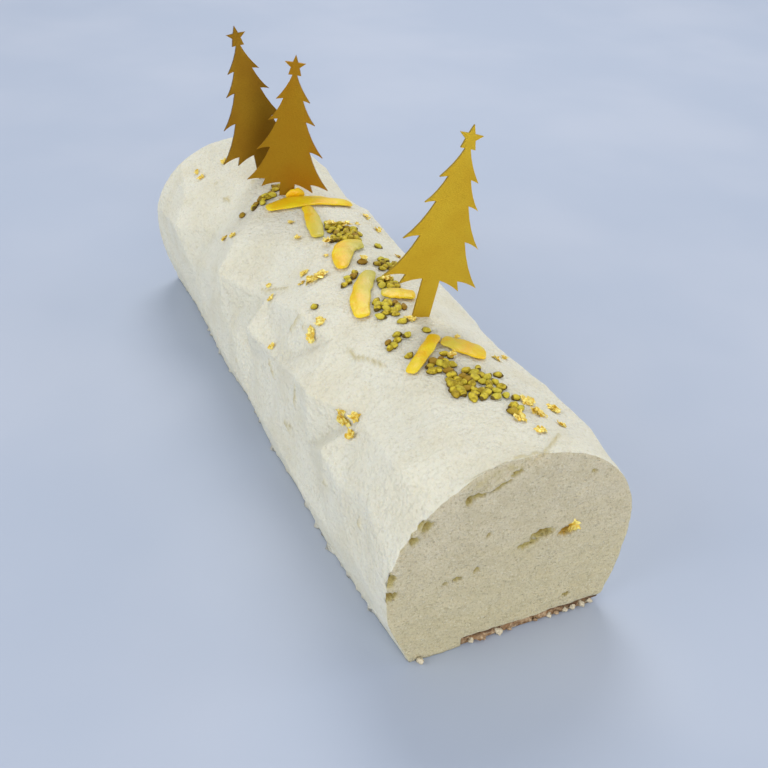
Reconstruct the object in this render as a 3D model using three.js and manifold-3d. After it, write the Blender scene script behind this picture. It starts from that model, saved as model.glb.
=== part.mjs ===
// Yule log cake, in millimetres, +Z up. A moulded mousse log lies along Y on a thin biscuit
// base. Its cut end faces -Y. It carries three card tree toppers, strips of candied peel,
// chopped nuts and flakes of gold leaf. The origin is under the middle of the log.
import * as THREE from 'three';
import { mergeVertices } from 'three/addons/utils/BufferGeometryUtils.js';
import Module from 'manifold-3d';

const wasm = await Module();
wasm.setup();

// The log: a rounded loaf section, widest a little below half its height
const LENGTH = 271;
const HALF_WIDTH = 42.1;
const HEIGHT = 71;
const WIDEST_Z = 32.7;
const CROWN_POWER = 2.1;
const FOOT_HALF = 36.3;
const REAR_ROUNDING = 4;
// Rings of the rounding: [part of its depth, how far the section draws in]
const REAR_RINGS = [[0.3, 0.012], [0.7, 0.05], [1, 0.11]];
const TOUCHING = 0.01;

// The mould's flat facets meet at these corners: [y, distance round the section from the crest,
// lift]. Below its own shoulder, the right side is the left one turned round and shallower.
const LEFT_SHOULDER = [
  [-117, -32, 4], [-86, -34, -1.5], [-50, -26, 2], [-28, -29, 4.5],
  [3, -37, -1.5], [41, -33, 3.5], [69, -38, -3.5], [106, -40, 1.5],
];
const RIGHT_SHOULDER = [
  [-117, 36, 3], [-91, 35, 2.5], [-67, 33, 0.5], [-41, 36, 0], [-12, 30, 2.5],
  [18, 36, 0], [48, 30, 2.5], [78, 36, -1], [107, 35, 2],
];
const FLANK = [
  [-112, -46, 1.5], [-96, -54, 0.5], [-80, -51, 2], [-63, -61, -2.5],
  [-62, -42, 4.5], [-43, -44, 2], [-27, -49, -2], [-2, -50, 2.5],
  [2, -64, -3.5], [14, -62, 0.5], [32, -63, -0.5], [33, -45, 5.5],
  [52, -46, -1.5], [66, -57, -2], [82, -63, -0.5], [94, -51, 5], [118, -55, 2.5],
  [-107, -72, 0.5], [-89, -80, 1], [-63, -82, 2], [-27, -79, 1.5],
  [4, -84, 1], [34, -78, 2], [62, -82, 0.5], [100, -79, 0.5],
];
const CREST_CORNERS = [-126, -107, -90, -70, -45, -22, -3, 15, 37, 60, 85, 110];
const CREST_ROUND = -12;
const RIGHT_RELIEF = 0.4;
// Corners of both ends on either side: [distance round, lift at the front, lift at the rear].
// The left foot of the cut end is worn back
const END_CORNERS = [[12, 0.4, 0], [33, 0, 1], [56, 0.4, 2.6], [76, 0.4, 1.6]];
const WORN_CORNER = -3.2;
const FOOT_CORNERS = 8;
const FOOT_REACH = 105;
// Creases of the left side that run the longer way between two corners, as [y, distance round]
const LONG_CREASES = [
  [[-86, -34], [-63, -61]], [[-50, -26], [-27, -49]], [[-27, -49], [3, -37]],
  [[3, -37], [2, -64]], [[3, -37], [32, -63]],
];
const FOOT_WAVER = 1.2;
const FOOT_CLEAR = 6;
const SMOOTH_UP_TO = 11;
const FACETED_FROM = 26;
const SMOOTH_END = 22;
const STEPS_PER_FACET = 4;

// The biscuit base and the pocket it fills under the log
const BISCUIT_THICK = 3.2;
const BISCUIT_LEFT = -15;
const BISCUIT_RIGHT = 35.2;
const BISCUIT_END_INSET = 0.8;
const BISCUIT_RAGGED = 0.9;
const BISCUIT_STEP = 7;
const GAP = 0.3;

// Card tree toppers, all cut to one outline. Heights are from the tree's lowest branch root
const CARD_THICK = 1;
const STAR_CENTRE = 46;
const STAR_RADIUS = 4.4;
const STAR_WAIST = 0.42;
const NECK = [0.9, 42.5];
const BRANCH_TIPS = [[7, 32], [9.7, 22.9], [13.9, 9.8], [17.3, -4]];
const BRANCH_ROOTS = [[4, 32.7], [5.8, 24], [8.2, 11.7], [9.6, -2.4]];
const INNER_TIP = [11, -6];
const LOWEST_CURVE = [13, -2.2];
const FORK_CURVE = [7, -3.6];
const NECK_CURVE = [2.6, 37.4];
const BRANCH_HANG = [0.36, 0.6];
const TIP_DROP = 0.2;
const CURVE_STEPS = 4;
const TRUNK_HALF = 3.1;
const TRUNK_TOP = -3;
const STUCK_IN = 12;
// y and distance from the crest of each foot, branch root height above it, then degrees of
// yaw about Z, lean to the rear and roll to the right
const TOPPERS = [
  { name: 'tree_topper_front', y: -52.2, round: 5.9, rise: 16.9, yaw: -7.2, lean: -5.9, roll: 13.9 },
  { name: 'tree_topper_rear_left', y: 81.5, round: -5.5, rise: 13.5, yaw: 0.4, lean: -12, roll: -7 },
  { name: 'tree_topper_rear_right', y: 59.5, round: -3.4, rise: 8.4, yaw: -29.3, lean: -2.3, roll: 3.9 },
];

// Candied peel: [y, distance round from the crest, width] along the middle of each strip. The
// curled end of the rear bar stands up higher than the strips that lie flat
const PEEL_THICK = 1.7;
const PEEL_RAISED = { peel_rear_nub: 2.6 };
const PEEL_CLEAR = 0.4;
const PEEL_END = 0.62;
const PEEL_STATIONS = 3;
const PEEL_SECTION = [[-0.5, 0], [-0.5, 0.55], [-0.28, 0.95], [0.28, 1], [0.5, 0.5], [0.5, 0]];
const PEEL_STRIPS = {
  peel_rear_bar: [[50.4, -15.5, 6.2], [50.2, -10, 8.4], [49.6, -4.5, 9.4],
    [48.6, 1.6, 9.2], [48.2, 7.5, 8.2], [47.4, 14.5, 7], [48.6, 21.5, 5.4]],
  peel_rear_stem: [[43.3, -0.6, 4.6], [37, -1.2, 5.6], [29, -2.8, 6.2], [21, -4.6, 6.2], [15.6, -5.8, 5]],
  peel_rear_nub: [[55.8, -5, 1.4], [55.7, -2.4, 2.4], [55.2, 0.4, 2.6], [54.9, 3, 1.4]],
  peel_comma: [[4.6, 8.4, 6.4], [5, 5, 8.6], [3.8, 1.4, 8.8],
    [0.2, -1.6, 8], [-5, -4.2, 7.2], [-12, -6.9, 3.8]],
  peel_crescent: [[-17.8, 2, 3.8], [-22.8, -1.9, 6],
    [-29.4, -6.4, 7], [-37, -10.4, 6.8], [-46, -12.9, 5.6]],
  peel_by_trunk: [[-34.2, -1.2, 4.4], [-35.4, 1.8, 7], [-36.8, 5.4, 7.6], [-39, 10.2, 6]],
  peel_front_long: [[-83, -12.6, 3.8], [-79.4, -8.4, 4.6],
    [-75.4, -4, 4.6], [-70.8, 0.6, 4.6], [-66.8, 4.2, 4]],
  peel_front_short: [[-70.1, 4.8, 5.6], [-73.2, 8, 8],
    [-76, 11, 9.8], [-78, 13.8, 10.8], [-79.6, 16.8, 8.6]],
};

// Chopped nuts: [y, distance round from the crest, reach, number] of each scatter
const NUT_SCATTERS = [
  [-97, 3.2, 8.6, 33], [-79.8, 1.2, 3, 4], [-83.4, -4.4, 3, 5], [-86, -0.2, 2.2, 3],
  [-112, 8.8, 2.4, 3], [-105, 10.4, 3.4, 2], [-93.3, 14, 1, 1], [-88.2, 9.6, 1, 1],
  [-74.2, -7.2, 1.6, 2], [-63.4, -7, 3, 3], [-63.4, 2.6, 1.6, 2], [-63, -12.4, 4, 3],
  [-54, -1.4, 1, 1], [-46.3, 2.2, 1, 1], [-44, -4.4, 5.6, 14], [-27.4, 3.2, 4.2, 10],
  [-12.6, 9.6, 4.4, 9], [-8.8, 2.8, 1.8, 2], [-14, 3.2, 0.9, 1], [-16.8, -2.8, 2.2, 3],
  [-19.8, -6.9, 2, 3], [-22.6, -10, 0.9, 1], [4.2, 14.4, 0.8, 1], [-29.1, -23.4, 1, 1],
  [17.2, 3, 8.4, 30], [62.5, -24.3, 1, 1], [58, -16.2, 2.8, 4], [62.2, -11.2, 2.8, 5],
  [65.8, -5.6, 2.8, 6],
];
const NUT_RADII = [1.75, 1.35, 1.2];
const NUT_APART = 1.9;
const NUT_TRIES = 40;
const NUT_SMALLEST = 0.85;
const NUT_SPREAD = 0.35;
const NUT_HEIGHT = 0.5;
const NUT_TILT = 0.5;
const CLEAR_OF_PEEL = 1.9;
const CLEAR_OF_TOPPERS = 5.4;

// Gold leaf: [y, distance round from the crest, size] of each flake on the skin and on the nuts
const GOLD_FLAKES = [
  [109.3, -16.3, 1.8], [110.6, -29, 1.6], [116, -29.3, 1.4], [55, -37, 1.6], [46.8, -32.4, 1.6],
  [-10.4, -16.6, 3.8], [-1.8, -19.5, 1.8], [-1.3, -35.8, 1.6], [-38.9, -31.2, 2.8], [-38.3, -25, 2],
  [-19.2, -46.8, 1.6], [-79.2, -39.2, 3], [-83.2, -34.9, 1.8], [-86.3, -39.5, 2], [38.8, 25, 1.6],
  [29.7, 27.5, 1.6], [-2.2, 21.1, 1.7], [-53.6, 1.8, 2.2], [-116.7, 7.6, 2.2], [-108.7, 15.6, 2.4],
  [-114.3, 15.6, 2.4], [-109, 27.5, 2.8], [-124.1, 11, 1.5], [-120.5, 21.1, 1.5], [-78.4, 22.6, 1.5],
  [-75.3, 28.7, 1.4], [26.1, 15, 1.1], [-68.3, 11.8, 1.1], [34.6, -10.6, 1.2], [21.1, -13, 1.2],
  [1.8, -8.2, 1], [-8, -22.2, 1.2], [7.4, -32.8, 1.1],
];
const FLAKES_ON_NUTS = [
  [-80.8, 3.4, 2], [23.2, 2.4, 1.8], [21.6, 8.2, 2], [9.6, -4.6, 1.8], [-8.6, 3.2, 1.8], [-26.4, 5, 2],
];
const FLAKE_LONG = 1;
const FLAKE_WIDE = 0.7;
const FLAKE_THICK = 0.7;
const FLAKE_HEIGHT = 0.1;
const FLAKE_ON_NUTS_THICK = 1.2;
const FLAKE_ON_NUTS_HEIGHT = 0.8;
const FLAKE_TILT = 0.3;
// The flake on the cut face: x, z and its three radii, sunk a little into the mousse
const FACE_FLAKE = [19.8, 39.8, 2.4, 0.8, 1.6];
const FACE_FLAKE_SUNK = 0.6;

// Hollows: the torn ones in the cut face as [x, z, half width, half height, depth, turn], and
// the pits in the skin as [y, distance round from the crest, reach]
const CUT_FACE_HOLLOWS = [
  [4.4, 36.9, 4.2, 1.1, 2, 10], [9, 39.6, 4.2, 1.9, 2.4, -8], [18.6, 37.6, 3.4, 1.9, 3.4, 0],
  [-18.2, 60.7, 1.5, 1.3, 2.6, 0], [-14.4, 61.9, 3.4, 0.6, 2.4, 8], [-8.4, 63.6, 4, 0.5, 2.4, 26],
  [-3.2, 66.5, 2.2, 0.5, 2, 22], [-30.9, 55.3, 1.9, 1.4, 2.2, 30], [-34.6, 51.2, 1.6, 1, 1.4, 50],
  [-19.4, 30.7, 1.6, 0.9, 1.8, 0], [-23.3, 30, 1.2, 0.6, 1, 0], [-12.8, 32.3, 1.3, 1, 1.6, 0],
  [-10.2, 45.5, 1, 0.6, 1.4, 30], [22.5, 8.5, 1.8, 1.1, 2, 0], [24.3, 59.5, 0.8, 0.7, 1.2, 0],
  [-40.6, 31.6, 2.2, 1.5, 2.2, 40], [-40.6, 38.4, 1.3, 1.6, 1.6, 0],
];
const SKIN_PITS = [
  [-111, -57, 1.9], [-85, -61, 1.8], [83, -26, 2], [98, -25.5, 1.4], [80, -11.8, 1.6],
  [-34, -31, 1.5], [4.6, -35.4, 1.5], [-46, -66, 1.8], [12, -72, 1.6],
];
const PIT_WIDE = 0.7;
const PIT_DEPTH = 0.9;
const PIT_TURN = 0.6;

const COLOURS = {
  mousse: { color: 0xe4dfcf, roughness: 0.9 },
  biscuit: { color: 0x8a5a30, roughness: 0.95 },
  card: { color: 0xb08a1c, roughness: 0.35, metalness: 0.8 },
  peel: { color: 0xe8b93c, roughness: 0.35 },
};

const group = new THREE.Group();
const radians = THREE.MathUtils.degToRad;

function addMesh(name, geometry, finish) {
  const mesh = new THREE.Mesh(geometry, new THREE.MeshStandardMaterial(finish));
  mesh.name = name;
  group.add(mesh);
  return mesh;
}

// A small seeded generator, so that every build scatters alike
function seeded(seed) {
  let state = seed;
  return () => {
    state = (Math.imul(state, 1664525) + 1013904223) >>> 0;
    return state / 4294967296;
  };
}

// Points of the half section from the crest down to the foot, with the distance round to each
function halfSection(samples = 240) {
  const points = [];
  for (let i = 0; i <= samples; i++) {
    const angle = (Math.PI / 2) * (1 - i / samples);
    const x = HALF_WIDTH * Math.cos(angle) ** (2 / CROWN_POWER);
    const z = WIDEST_Z + (HEIGHT - WIDEST_Z) * Math.sin(angle) ** (2 / CROWN_POWER);
    points.push(new THREE.Vector2(x, z));
  }
  for (let i = 1; i <= samples / 4; i++) {
    const up = 1 - i / (samples / 4);
    const x = FOOT_HALF + (HALF_WIDTH - FOOT_HALF) * Math.sin((up * Math.PI) / 2);
    points.push(new THREE.Vector2(x, WIDEST_Z * up));
  }
  let round = 0;
  return points.map((point, i) => {
    round += i ? point.distanceTo(points[i - 1]) : 0;
    return { point, round };
  });
}

const SECTION = halfSection();
const HALF_GIRTH = SECTION.at(-1).round;

// The smooth loaf surface at y and a distance round from the crest, raised along its normal
function smoothSkin(y, round, lift) {
  const side = Math.sign(round) || 1;
  const along = Math.min(Math.abs(round), HALF_GIRTH);
  let i = 1;
  while (i < SECTION.length - 1 && SECTION[i].round < along) i++;
  const before = SECTION[i - 1];
  const after = SECTION[i];
  const part = (along - before.round) / (after.round - before.round);
  const at = before.point.clone().lerp(after.point, part);
  const step = after.point.clone().sub(before.point).normalize();
  const rise = step.x * lift * Math.min(1, at.y / FOOT_CLEAR);
  return new THREE.Vector3(side * (at.x - step.y * lift), y, Math.max(0, at.y + rise));
}

// All corners of the unrolled skin: both sides, the crest, the feet and the two ends
function skinCorners() {
  const random = seeded(7);
  const foot = Array.from({ length: FOOT_CORNERS }, (_, i) => [
    -FOOT_REACH + (2 * FOOT_REACH * i) / (FOOT_CORNERS - 1),
    -HALF_GIRTH,
    FOOT_WAVER * (2 * random() - 1),
  ]);
  const left = [...FLANK, ...foot, ...CREST_CORNERS.map((y) => [y, CREST_ROUND, 0])];
  const right = left.map(([y, round, lift]) => [-y, -round, lift * RIGHT_RELIEF]);
  const ends = [...END_CORNERS, [HALF_GIRTH, 0, 0]].flatMap(([round, front, rear]) => [
    [-LENGTH / 2, -round, round === HALF_GIRTH ? WORN_CORNER : front],
    [-LENGTH / 2, round, front],
    [LENGTH / 2 - REAR_ROUNDING, -round, rear],
    [LENGTH / 2 - REAR_ROUNDING, round, rear],
  ]);
  return [...LEFT_SHOULDER, ...RIGHT_SHOULDER, ...left, ...right, ...ends];
}

// The centre and radius of the circle through three corners, or nothing where they are in line
function circleThrough([ay, ar], [by, br], [cy, cr]) {
  const twice = 2 * ((by - ay) * (cr - ar) - (cy - ay) * (br - ar));
  if (Math.abs(twice) < 1e-6) return null;
  const b = (by - ay) ** 2 + (br - ar) ** 2;
  const c = (cy - ay) ** 2 + (cr - ar) ** 2;
  const y = ((cr - ar) * b - (br - ar) * c) / twice;
  const round = ((by - ay) * c - (cy - ay) * b) / twice;
  return { y: ay + y, round: ar + round, radius: Math.hypot(y, round) };
}

// Facets as threes of corner numbers: each joins neighbours, with no other corner in its circle
function joinNeighbours(corners) {
  const facets = [];
  for (let i = 0; i < corners.length; i++) {
    for (let j = i + 1; j < corners.length; j++) {
      for (let k = j + 1; k < corners.length; k++) {
        const circle = circleThrough(corners[i], corners[j], corners[k]);
        const clear = circle && corners.every(([y, round], m) => (
          m === i || m === j || m === k || Math.hypot(y - circle.y, round - circle.round) > circle.radius
        ));
        if (clear) facets.push([i, j, k]);
      }
    }
  }
  return facets;
}

// Turns the edge that a long crease crosses, so that the crease is an edge itself
function foldAlong(facets, from, to) {
  for (const first of facets.filter((facet) => facet.includes(from))) {
    const shared = first.filter((corner) => corner !== from);
    const second = facets.find((facet) => facet.includes(to) && shared.every((k) => facet.includes(k)));
    if (second) {
      const rest = facets.filter((facet) => facet !== first && facet !== second);
      return [...rest, [from, shared[0], to], [from, to, shared[1]]];
    }
  }
  return facets;
}

function facetList() {
  const corners = skinCorners();
  const numberOf = ([y, round]) => corners.findIndex((corner) => corner[0] === y && corner[1] === round);
  let facets = joinNeighbours(corners);
  for (const [from, to] of LONG_CREASES) {
    facets = foldAlong(facets, numberOf(from), numberOf(to));
  }
  return facets.map((facet) => {
    const [a, b, c] = facet.map((k) => corners[k]);
    const area = (b[0] - a[0]) * (c[1] - a[1]) - (c[0] - a[0]) * (b[1] - a[1]);
    const ordered = area > 0 ? [a, b, c] : [a, c, b];
    return { corners: ordered, solid: ordered.map((corner) => smoothSkin(...corner)) };
  });
}

// A place on a facet from its three weights: flat low on the sides, smooth over the crest
function onFacet({ corners, solid }, weights) {
  const mix = (k) => corners.reduce((sum, corner, i) => sum + corner[k] * weights[i], 0);
  const [y, round, lift] = [mix(0), mix(1), mix(2)];
  const flat = new THREE.Vector3();
  solid.forEach((corner, i) => flat.addScaledVector(corner, weights[i]));
  const aside = THREE.MathUtils.smoothstep(Math.abs(round), SMOOTH_UP_TO, FACETED_FROM);
  const inward = THREE.MathUtils.smoothstep(LENGTH / 2 - Math.abs(y), 0, SMOOTH_END);
  return smoothSkin(y, round, lift).lerp(flat, aside * inward);
}

const FACETS = facetList();

// The skin at y and a distance round from the crest
function skin(y, round) {
  let best = null;
  for (const facet of FACETS) {
    const [a, b, c] = facet.corners;
    const area = (b[0] - a[0]) * (c[1] - a[1]) - (c[0] - a[0]) * (b[1] - a[1]);
    const v = ((y - a[0]) * (c[1] - a[1]) - (c[0] - a[0]) * (round - a[1])) / area;
    const w = ((b[0] - a[0]) * (round - a[1]) - (y - a[0]) * (b[1] - a[1])) / area;
    const inside = Math.min(1 - v - w, v, w);
    if (!best || inside > best.inside) best = { facet, inside, weights: [1 - v - w, v, w] };
  }
  return onFacet(best.facet, best.weights);
}

// The place, the outward normal and the two directions along the skin
function skinFrame(y, round) {
  const place = skin(y, round);
  const along = skin(y + 1, round).sub(skin(y - 1, round)).normalize();
  const across = skin(y, round + 1).sub(skin(y, round - 1)).normalize();
  const out = new THREE.Vector3().crossVectors(across, along).normalize();
  return { place, out, along };
}

// A body from a list of triangles, its shared corners merged
function bodyFrom(triangles) {
  const places = triangles.flat().flatMap((p) => p.toArray());
  const geometry = new THREE.BufferGeometry();
  geometry.setAttribute('position', new THREE.Float32BufferAttribute(places, 3));
  return mergeVertices(geometry, 1e-3);
}

function toSolid(geometry) {
  const bare = geometry.clone();
  bare.deleteAttribute('normal');
  bare.deleteAttribute('uv');
  const merged = mergeVertices(bare, 1e-3);
  return new wasm.Manifold(new wasm.Mesh({
    numProp: 3,
    vertProperties: new Float32Array(merged.attributes.position.array),
    triVerts: new Uint32Array(merged.index.array),
  }));
}

function toGeometry(solid) {
  const { vertProperties, triVerts } = solid.getMesh();
  const geometry = new THREE.BufferGeometry();
  geometry.setAttribute('position', new THREE.BufferAttribute(vertProperties, 3));
  geometry.setIndex(new THREE.BufferAttribute(triVerts, 1));
  return geometry;
}

// The skin as small triangles, a few steps along each edge of a facet
function skinTriangles() {
  const triangles = [];
  const n = STEPS_PER_FACET;
  for (const facet of FACETS) {
    const at = (i, j) => onFacet(facet, [1 - (i + j) / n, i / n, j / n]);
    for (let i = 0; i < n; i++) {
      for (let j = 0; j < n - i; j++) {
        triangles.push([at(i, j), at(i, j + 1), at(i + 1, j)]);
        if (i + j < n - 1) {
          triangles.push([at(i + 1, j), at(i, j + 1), at(i + 1, j + 1)]);
        }
      }
    }
  }
  return triangles;
}

// The points of some triangles that pass a test, each once
function pointsWhere(triangles, test) {
  const found = new Map();
  for (const point of triangles.flat().filter(test)) {
    found.set(`${point.x.toFixed(3)} ${point.y.toFixed(3)}`, point);
  }
  return [...found.values()];
}

// The skin, the rounded rear end, the two flat ends and the flat underside
function logBody() {
  const triangles = skinTriangles();
  const rearY = LENGTH / 2 - REAR_ROUNDING;
  const turnOf = (p) => Math.atan2(p.x, p.z - 1);
  const order = (ring) => ring.sort((p, q) => turnOf(p) - turnOf(q));
  const frontRing = order(pointsWhere(triangles, (p) => p.y < -LENGTH / 2 + TOUCHING));
  const rings = [order(pointsWhere(triangles, (p) => p.y > rearY - TOUCHING))];
  for (const [back, inward] of REAR_RINGS) {
    const y = rearY + REAR_ROUNDING * back;
    rings.push(rings[0].map((p) => new THREE.Vector3(p.x * (1 - inward), y, p.z * (1 - inward))));
  }
  for (let k = 1; k < rings.length; k++) {
    for (let i = 0; i < rings[0].length - 1; i++) {
      const [a, b, c, d] = [rings[k - 1][i], rings[k - 1][i + 1], rings[k][i + 1], rings[k][i]];
      triangles.push([a, b, c], [a, c, d]);
    }
  }
  const fill = (ring, flatten, turned) => {
    for (const [a, b, c] of THREE.ShapeUtils.triangulateShape(ring.map(flatten), [])) {
      triangles.push(turned ? [ring[a], ring[c], ring[b]] : [ring[a], ring[b], ring[c]]);
    }
  };
  const footing = (side) => {
    const points = pointsWhere(triangles, (p) => p.z < 1e-6 && Math.sign(p.x) === side);
    return points.sort((p, q) => p.y - q.y);
  };
  const under = [...footing(-1), ...footing(1).reverse()];
  fill(frontRing, (p) => new THREE.Vector2(p.x, p.z), false);
  fill(rings.at(-1), (p) => new THREE.Vector2(p.x, p.z), true);
  fill(under, (p) => new THREE.Vector2(p.x, p.y), true);
  return bodyFrom(triangles);
}

// A chip or a hollow with three radii, turned and set at a place
function pebble(radii, place, turn, detail = 0) {
  const geometry = new THREE.OctahedronGeometry(1, detail);
  geometry.scale(...radii);
  geometry.applyQuaternion(turn);
  geometry.translate(...place.toArray());
  return toSolid(geometry);
}

// A pebble on the skin: its long side lies along the skin, turned about the normal
function pebbleOnSkin(y, round, radii, height, spin, tilt) {
  const { place, out, along } = skinFrame(y, round);
  const side = new THREE.Vector3().crossVectors(out, along);
  const basis = new THREE.Matrix4().makeBasis(along, side, out);
  const lying = new THREE.Quaternion().setFromRotationMatrix(basis);
  const turned = new THREE.Quaternion().setFromEuler(new THREE.Euler(0, tilt, spin, 'ZYX'));
  return pebble(radii, place.addScaledVector(out, height), lying.multiply(turned));
}

// The distance from a place to the middle of the nearest peel strip, less half its width
function clearOfPeel(y, round) {
  let nearest = Infinity;
  for (const strip of Object.values(PEEL_STRIPS)) {
    for (let i = 1; i < strip.length; i++) {
      const [y0, r0, w0] = strip[i - 1];
      const [y1, r1, w1] = strip[i];
      const span = (y1 - y0) ** 2 + (r1 - r0) ** 2;
      const part = THREE.MathUtils.clamp(((y - y0) * (y1 - y0) + (round - r0) * (r1 - r0)) / span, 0, 1);
      const off = Math.hypot(y - y0 - part * (y1 - y0), round - r0 - part * (r1 - r0));
      nearest = Math.min(nearest, off - Math.max(w0, w1) / 2);
    }
  }
  return nearest;
}

function clearOfToppers(y, round) {
  return Math.min(...TOPPERS.map((topper) => Math.hypot(y - topper.y, round - topper.round)));
}

// Chopped nuts, pressed lightly into the skin and clear of the peel and the toppers
function nuts() {
  const random = seeded(2024);
  const placed = [];
  const solids = [];
  const isFree = (y, round) => (
    placed.every(([py, pr]) => Math.hypot(y - py, round - pr) > NUT_APART)
    && clearOfPeel(y, round) >= CLEAR_OF_PEEL
    && clearOfToppers(y, round) >= CLEAR_OF_TOPPERS
  );
  const freePlace = (middleY, middleRound, reach) => {
    for (let tries = 0; tries < NUT_TRIES; tries++) {
      const angle = 2 * Math.PI * random();
      const away = reach * Math.sqrt(random());
      const place = [middleY + away * Math.cos(angle), middleRound + away * Math.sin(angle)];
      if (isFree(...place)) return place;
    }
    return null;
  };
  for (const [middleY, middleRound, reach, number] of NUT_SCATTERS) {
    for (let k = 0; k < number; k++) {
      const place = freePlace(middleY, middleRound, reach);
      if (!place) continue;
      placed.push(place);
      const size = NUT_SMALLEST + NUT_SPREAD * random();
      const radii = NUT_RADII.map((radius) => radius * size);
      const spin = Math.PI * random();
      const tilt = NUT_TILT * (random() - 0.5);
      solids.push(pebbleOnSkin(...place, radii, NUT_HEIGHT, spin, tilt));
    }
  }
  return solids;
}

// Gold leaf flakes, as low crumpled scraps on the skin, on the nuts and on the cut face
function flakes() {
  const random = seeded(99);
  const lay = ([y, round, size], thick, height) => {
    const radii = [size * FLAKE_LONG, size * FLAKE_WIDE, thick];
    const spin = Math.PI * random();
    const tilt = FLAKE_TILT * (random() - 0.5);
    return pebbleOnSkin(y, round, radii, height, spin, tilt);
  };
  const [x, z, ...radii] = FACE_FLAKE;
  return [
    ...GOLD_FLAKES.map((flake) => lay(flake, FLAKE_THICK, FLAKE_HEIGHT)),
    ...FLAKES_ON_NUTS.map((flake) => lay(flake, FLAKE_ON_NUTS_THICK, FLAKE_ON_NUTS_HEIGHT)),
    pebble(radii, new THREE.Vector3(x, -LENGTH / 2 + FACE_FLAKE_SUNK, z), new THREE.Quaternion()),
  ];
}

// The right half of a topper's outline, from the foot of its trunk up to the tip of its star
function halfTree(bottom) {
  const half = new THREE.Path();
  half.moveTo(TRUNK_HALF, bottom);
  half.lineTo(TRUNK_HALF, TRUNK_TOP);
  half.quadraticCurveTo(...FORK_CURVE, ...INNER_TIP);
  half.lineTo(...BRANCH_ROOTS.at(-1));
  half.quadraticCurveTo(...LOWEST_CURVE, ...BRANCH_TIPS.at(-1));
  for (let i = BRANCH_ROOTS.length - 2; i >= 0; i--) {
    const [lowX, lowZ] = BRANCH_TIPS[i + 1];
    const [rootX, rootZ] = BRANCH_ROOTS[i];
    const [tipX, tipZ] = BRANCH_TIPS[i];
    const [inX, inZ] = BRANCH_HANG;
    half.quadraticCurveTo(rootX + (lowX - rootX) * inX, rootZ + (lowZ - rootZ) * inZ, rootX, rootZ);
    half.quadraticCurveTo((rootX + tipX) / 2, rootZ - TIP_DROP, tipX, tipZ);
  }
  half.quadraticCurveTo(...NECK_CURVE, ...NECK);
  for (let k = 0; k <= 4; k++) {
    const angle = radians(-54 + k * 36);
    const radius = k % 2 ? STAR_RADIUS * STAR_WAIST : STAR_RADIUS;
    half.lineTo(radius * Math.cos(angle), STAR_CENTRE + radius * Math.sin(angle));
  }
  return half.getPoints(CURVE_STEPS);
}

// A topper's card, standing in local X and Z with its lowest branch root at zero
function topperCard(bottom) {
  const right = halfTree(bottom);
  const left = right.slice(0, -1).map((p) => new THREE.Vector2(-p.x, p.y)).reverse();
  const shape = new THREE.Shape([...right, ...left]);
  const geometry = new THREE.ExtrudeGeometry(shape, { depth: CARD_THICK, bevelEnabled: false });
  geometry.translate(0, 0, -CARD_THICK / 2);
  geometry.rotateX(Math.PI / 2);
  return geometry;
}

function standTopper(object, { y, round, rise, yaw, lean, roll }) {
  object.rotation.set(radians(lean), radians(roll), radians(yaw), 'ZXY');
  const up = new THREE.Vector3(0, 0, rise).applyEuler(object.rotation);
  object.position.copy(skin(y, round)).add(up);
  object.updateMatrix();
}

// The slot that a trunk sits in, with room all round
function topperSlot(topper) {
  const bottom = -topper.rise - STUCK_IN - GAP;
  const room = 2 * GAP;
  const box = new THREE.BoxGeometry(2 * TRUNK_HALF + room, CARD_THICK + room, TRUNK_TOP - bottom);
  const slot = new THREE.Mesh(box.translate(0, 0, (TRUNK_TOP + bottom) / 2));
  standTopper(slot, topper);
  return toSolid(box.applyMatrix4(slot.matrix));
}

// A strip of peel: rounded section, laid along its middle line just clear of the skin
function peelStrip(strip, raised = 1) {
  const middle = new THREE.CatmullRomCurve3(strip.map((point) => new THREE.Vector3(...point)));
  const stations = PEEL_STATIONS * strip.length;
  const rings = [];
  for (let i = 0; i <= stations; i++) {
    const { x: y, y: round, z: width } = middle.getPoint(i / stations);
    const ahead = middle.getTangent(i / stations).setZ(0).normalize();
    const end = i % stations ? 1 : PEEL_END;
    const raise = 1 + (raised - 1) * Math.sin(Math.PI * i / stations);
    rings.push(PEEL_SECTION.map(([across, high]) => {
      const off = across * width * end;
      const { place, out } = skinFrame(y - ahead.y * off, round + ahead.x * off);
      return place.addScaledVector(out, PEEL_CLEAR + high * PEEL_THICK * raise * end);
    }));
  }
  const triangles = [];
  const count = PEEL_SECTION.length;
  for (let i = 0; i < stations; i++) {
    for (let k = 0; k < count; k++) {
      const next = (k + 1) % count;
      const [a, b, c, d] = [rings[i][k], rings[i][next], rings[i + 1][next], rings[i + 1][k]];
      triangles.push([a, b, c], [a, c, d]);
    }
  }
  for (let k = 1; k < count - 1; k++) {
    triangles.push([rings[0][0], rings[0][k + 1], rings[0][k]]);
    triangles.push([rings[stations][0], rings[stations][k], rings[stations][k + 1]]);
  }
  return bodyFrom(triangles);
}

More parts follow.
